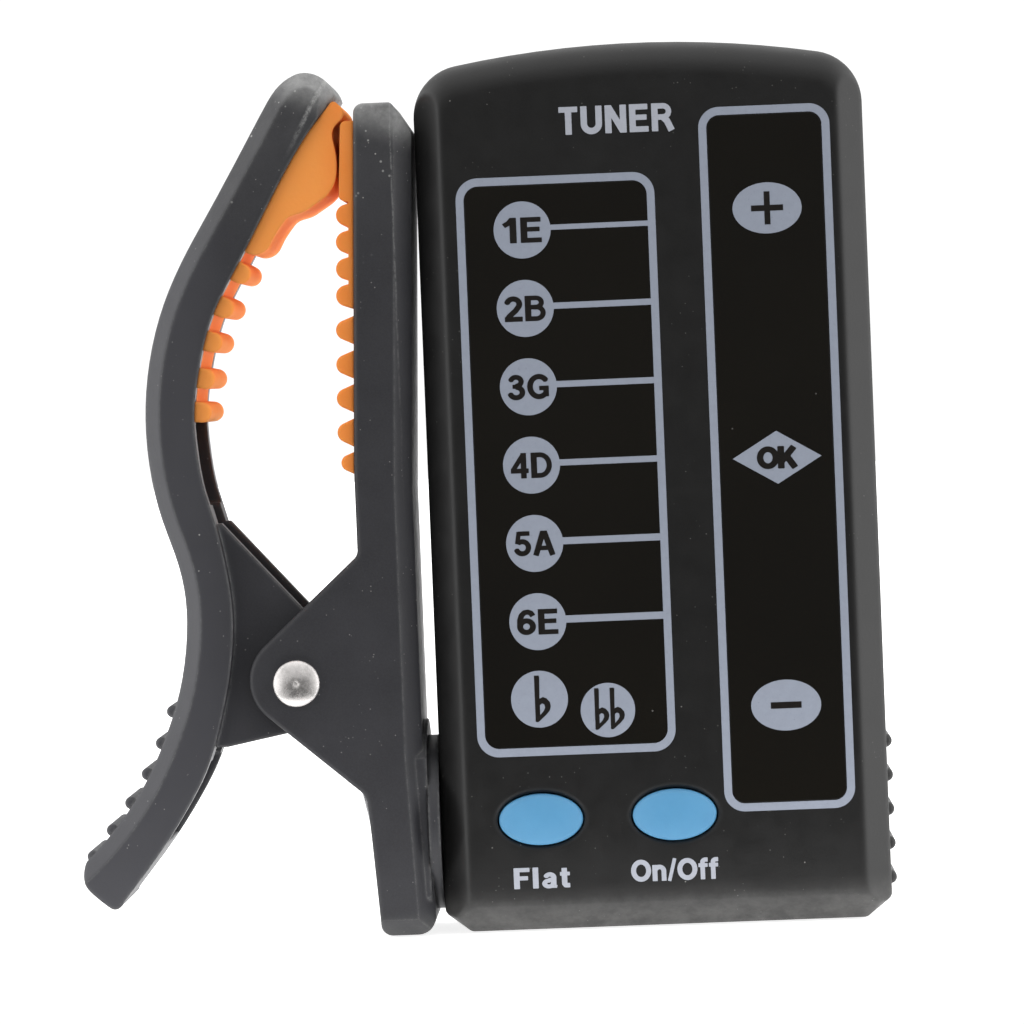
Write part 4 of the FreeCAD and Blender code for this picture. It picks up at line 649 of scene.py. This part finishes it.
# frames round the two windows
flat_piece("string_frame_print", [rrect(-14.80, 1.10, 14.14, 60.50, 1.75), rrect(-14.17, 0.48, 14.80, 59.85, 1.16)], F + 0.06, RING_T, INK)
flat_piece("pitch_frame_print", [rrect(4.79, 15.26, 9.06, 65.40, 1.65), rrect(5.43, 14.62, 9.70, 64.75, 1.02)], F + 0.06, RING_T, INK)

# string discs, their scale lines and letters
STRINGS = [("1E", 56.24, 0.42), ("2B", 49.97, 0.50), ("3G", 43.70, 0.50), ("4D", 37.43, 0.50), ("5A", 31.16, 0.56), ("6E", 24.89, 0.58)]
DX = -9.58
DR = 2.28
for label, z, w in STRINGS:
    flat_piece("disc_" + label, [oval(DX, z, DR, DR)], L + 0.03, DISC_T, INK)
    zl = z + 0.12
    flat_piece("line_" + label, [[(DX + DR - 0.12, zl - w / 2), (0.55, zl - w / 2 + 0.02), (0.55, zl + w / 2 + 0.02), (DX + DR - 0.12, zl + w / 2)]], L + 0.03, DISC_T - 0.002, INK)
    text_piece("letters_" + label, label, (DX - 0.02, z - 0.02, 3.30 if label not in ("1E",) else 3.14, 2.04), L, LETTER_T, DARK)


def flat_sign(cx, cz, h, k=1.0):
    """Outline and hole of a musical flat sign, cz at its middle."""
    z0 = cz - h / 2
    w = 0.34 * k
    out = [(0.00, 1.00), (0.34, 1.00), (0.40, 0.97), (0.36, 0.50), (0.62, 0.535), (0.90, 0.50), (1.14, 0.42), (1.20, 0.33),
           (1.12, 0.24), (0.86, 0.155), (0.52, 0.07), (0.24, 0.00), (0.08, -0.005), (0.00, 0.01)]
    hole = [(0.37, 0.36), (0.55, 0.395), (0.72, 0.37), (0.76, 0.30), (0.64, 0.23), (0.37, 0.145)]
    f = lambda pts: [(cx + (p[0] - 0.52) * k, z0 + p[1] * h) for p in pts]
    return [f(out), f(hole)]


flat_piece("disc_flat", [oval(-9.69, 18.68, 2.28, 2.28)], L + 0.03, DISC_T, INK)
flat_piece("sign_flat", flat_sign(-9.52, 18.72, 3.72, 1.05), L, LETTER_T, DARK)
flat_piece("disc_double_flat", [oval(-4.25, 17.60, 2.18, 2.18)], L + 0.03, DISC_T, INK)
flat_piece("sign_double_flat_a", flat_sign(-4.80, 17.72, 3.32, 0.96), L, LETTER_T, DARK)
flat_piece("sign_double_flat_b", flat_sign(-3.56, 17.72, 3.32, 0.96), L, LETTER_T, DARK)

# sharp, in tune and low marks of the pitch scale
flat_piece("mark_sharp", [oval(10.03, 57.20, 2.76, 2.04)], L + 0.03, DISC_T, INK)
PW, PA = 0.235, 1.28
flat_piece("plus_sign", [[(10.03 - PW, 57.2 + PA + 0.04), (10.03 - PW, 57.2 + PW), (10.03 - PA, 57.2 + PW), (10.03 - PA, 57.2 - PW), (10.03 - PW, 57.2 - PW),
                          (10.03 - PW, 57.2 - PA - 0.04), (10.03 + PW, 57.2 - PA - 0.04), (10.03 + PW, 57.2 - PW), (10.03 + PA, 57.2 - PW),
                          (10.03 + PA, 57.2 + PW), (10.03 + PW, 57.2 + PW), (10.03 + PW, 57.2 + PA + 0.04)]], L, LETTER_T, DARK)
flat_piece("mark_low", [oval(10.01, 17.45, 2.80, 2.04)], L + 0.03, DISC_T, INK)
flat_piece("minus_sign", [[(8.78, 17.19), (11.24, 17.19), (11.24, 17.71), (8.78, 17.71)]], L, LETTER_T, DARK)
flat_piece("mark_in_tune", [[(6.51, 37.28), (10.06, 35.16), (13.61, 37.28), (10.06, 39.40)]], L + 0.03, DISC_T, INK)
text_piece("letters_in_tune", "OK", (10.06, 37.26, 3.25, 1.92), L, LETTER_T, DARK, 0.02, bold=0.050)

# labels on the case face
text_piece("label_flat", "Flat", (-10.07, 4.34, 4.50, 1.72), F + 0.02, F - 0.03, INK_WHITE, 0.11, bold=0.022)
text_piece("label_on_off", "On/Off", (0.59, 4.62, 7.00, 1.86), F + 0.02, F - 0.03, INK_WHITE, 0.08, bold=0.022)
text_piece("label_tuner", "TUNER", (-1.70, 64.75, 9.20, 2.30), F + 0.02, F - 0.03, INK_WHITE, 0.13, bold=0.022)

# ---------------------------------------------------------------- torsion spring: a copy of the CAD spring in spring steel, in place of the CAD node
src = NODES["torsion_spring"]
spring_mesh = src.data.copy()
spring_mesh.name = "torsion_spring_wire"
spring = bpy.data.objects.new("torsion_spring_wire", spring_mesh)
coll.objects.link(spring)
spring_mesh.materials.clear()
spring_mesh.materials.append(M["spring_steel"])
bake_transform(spring)
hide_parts("torsion_spring")

# ---------------------------------------------------------------- floor
fm, fnt, fsh = new_mat("studio_floor")
fv = obj_vec(fnt)
fnt.links.new(ramp(fnt, noise(fnt, fv, 14.0, 2.0), [(0.3, g(0.88)), (0.7, g(0.90))]), fsh.inputs["Base Color"])
fsh.inputs["Roughness"].default_value = 0.9
fsh.inputs["Specular IOR Level"].default_value = 0.1
fsh.inputs["Emission Color"].default_value = (1.0, 1.0, 1.0, 1.0)
fsh.inputs["Emission Strength"].default_value = 0.80
fme = bpy.data.meshes.new("studio_floor")
fme.from_pydata([(-1.6, -0.032, -0.00015), (1.6, -0.032, -0.00015), (1.6, 2.2, -0.00015), (-1.6, 2.2, -0.00015)], [], [(0, 1, 2, 3)])
fme.materials.append(fm)
floor = bpy.data.objects.new("studio_floor", fme)
coll.objects.link(floor)

# ---------------------------------------------------------------- studio: soft boxes at both sides, above and behind
w = bpy.data.worlds.new("studio")
scene.world = w
w.use_nodes = True
wn = w.node_tree
wn.nodes.clear()
wo = wn.nodes.new("ShaderNodeOutputWorld")
bg_seen = wn.nodes.new("ShaderNodeBackground")
bg_seen.inputs["Color"].default_value = (1, 1, 1, 1)
bg_seen.inputs["Strength"].default_value = 1.1
bg_light = wn.nodes.new("ShaderNodeBackground")
tc = wn.nodes.new("ShaderNodeTexCoord")
sep = wn.nodes.new("ShaderNodeSeparateXYZ")
wn.links.new(tc.outputs["Generated"], sep.inputs["Vector"])
lower = mrange(wn, sep.outputs["Z"], 0.0, -0.5, 0.0, 1.0, True)
dz = math_n(wn, "MULTIPLY", math_n(wn, "ADD", sep.outputs["Z"], 0.10), mrange(wn, sep.outputs["Z"], -0.2, 0.2, 0.75, 1.60, True))
off = math_n(wn, "SQRT", math_n(wn, "ADD", math_n(wn, "MULTIPLY", sep.outputs["X"], sep.outputs["X"]), math_n(wn, "MULTIPLY", dz, dz)))
ahead = mrange(wn, sep.outputs["Y"], 0.0, -0.2, 0.0, 1.0)
front = math_n(wn, "MULTIPLY", mrange(wn, off, 0.72, 0.30, 0.0, 1.0, True), ahead)
base_r = math_n(wn, "MULTIPLY", mrange(wn, front, 0.0, 1.0, 0.86, 0.22), mrange(wn, math_n(wn, "MULTIPLY", lower, ahead), 0.0, 1.0, 1.0, 0.62))
side = mrange(wn, math_n(wn, "ABSOLUTE", sep.outputs["X"]), 0.50, 0.92, 0.0, 1.55, True)
top = mrange(wn, sep.outputs["Z"], 0.40, 0.95, 0.0, 0.9, True)
tot = math_n(wn, "ADD", base_r, math_n(wn, "ADD", side, top))
wn.links.new(tot, bg_light.inputs["Strength"])
lp = wn.nodes.new("ShaderNodeLightPath")
mx = wn.nodes.new("ShaderNodeMixShader")
wn.links.new(lp.outputs["Is Camera Ray"], mx.inputs["Fac"])
wn.links.new(bg_light.outputs["Background"], mx.inputs[1])
wn.links.new(bg_seen.outputs["Background"], mx.inputs[2])
wn.links.new(mx.outputs["Shader"], wo.inputs["Surface"])

# ---------------------------------------------------------------- camera
FOCAL_PX = 5385.0
phi = math.radians(2.3)
rp = Vector((math.cos(phi), 0, -math.sin(phi)))
up_ = Vector((math.sin(phi), 0, math.cos(phi)))
Y = Vector((0, 1, 0))
a, b = 138.0 / FOCAL_PX, 132.0 / FOCAL_PX
fwd = (Y - a * rp - b * up_).normalized()
right = rp + a * Y
right = (right - right.dot(fwd) * fwd).normalized()
up = right.cross(fwd)
cam_data = bpy.data.cameras.new("camera")
cam_data.sensor_width = 36.0
cam_data.lens = FOCAL_PX / 1024.0 * 36.0
cam_data.clip_start = 0.01
cam_data.clip_end = 20.0
cam = bpy.data.objects.new("camera", cam_data)
coll.objects.link(cam)
R = Matrix((right, up, -fwd)).transposed().to_4x4()
cam.matrix_world = Matrix.Translation(mm(0.16, -437.8, 43.85)) @ R
scene.camera = cam

scene.view_settings.view_transform = "Standard"
scene.view_settings.look = "None"
scene.view_settings.exposure = 0.0
scene.view_settings.gamma = 1.0

bpy.context.view_layer.update()
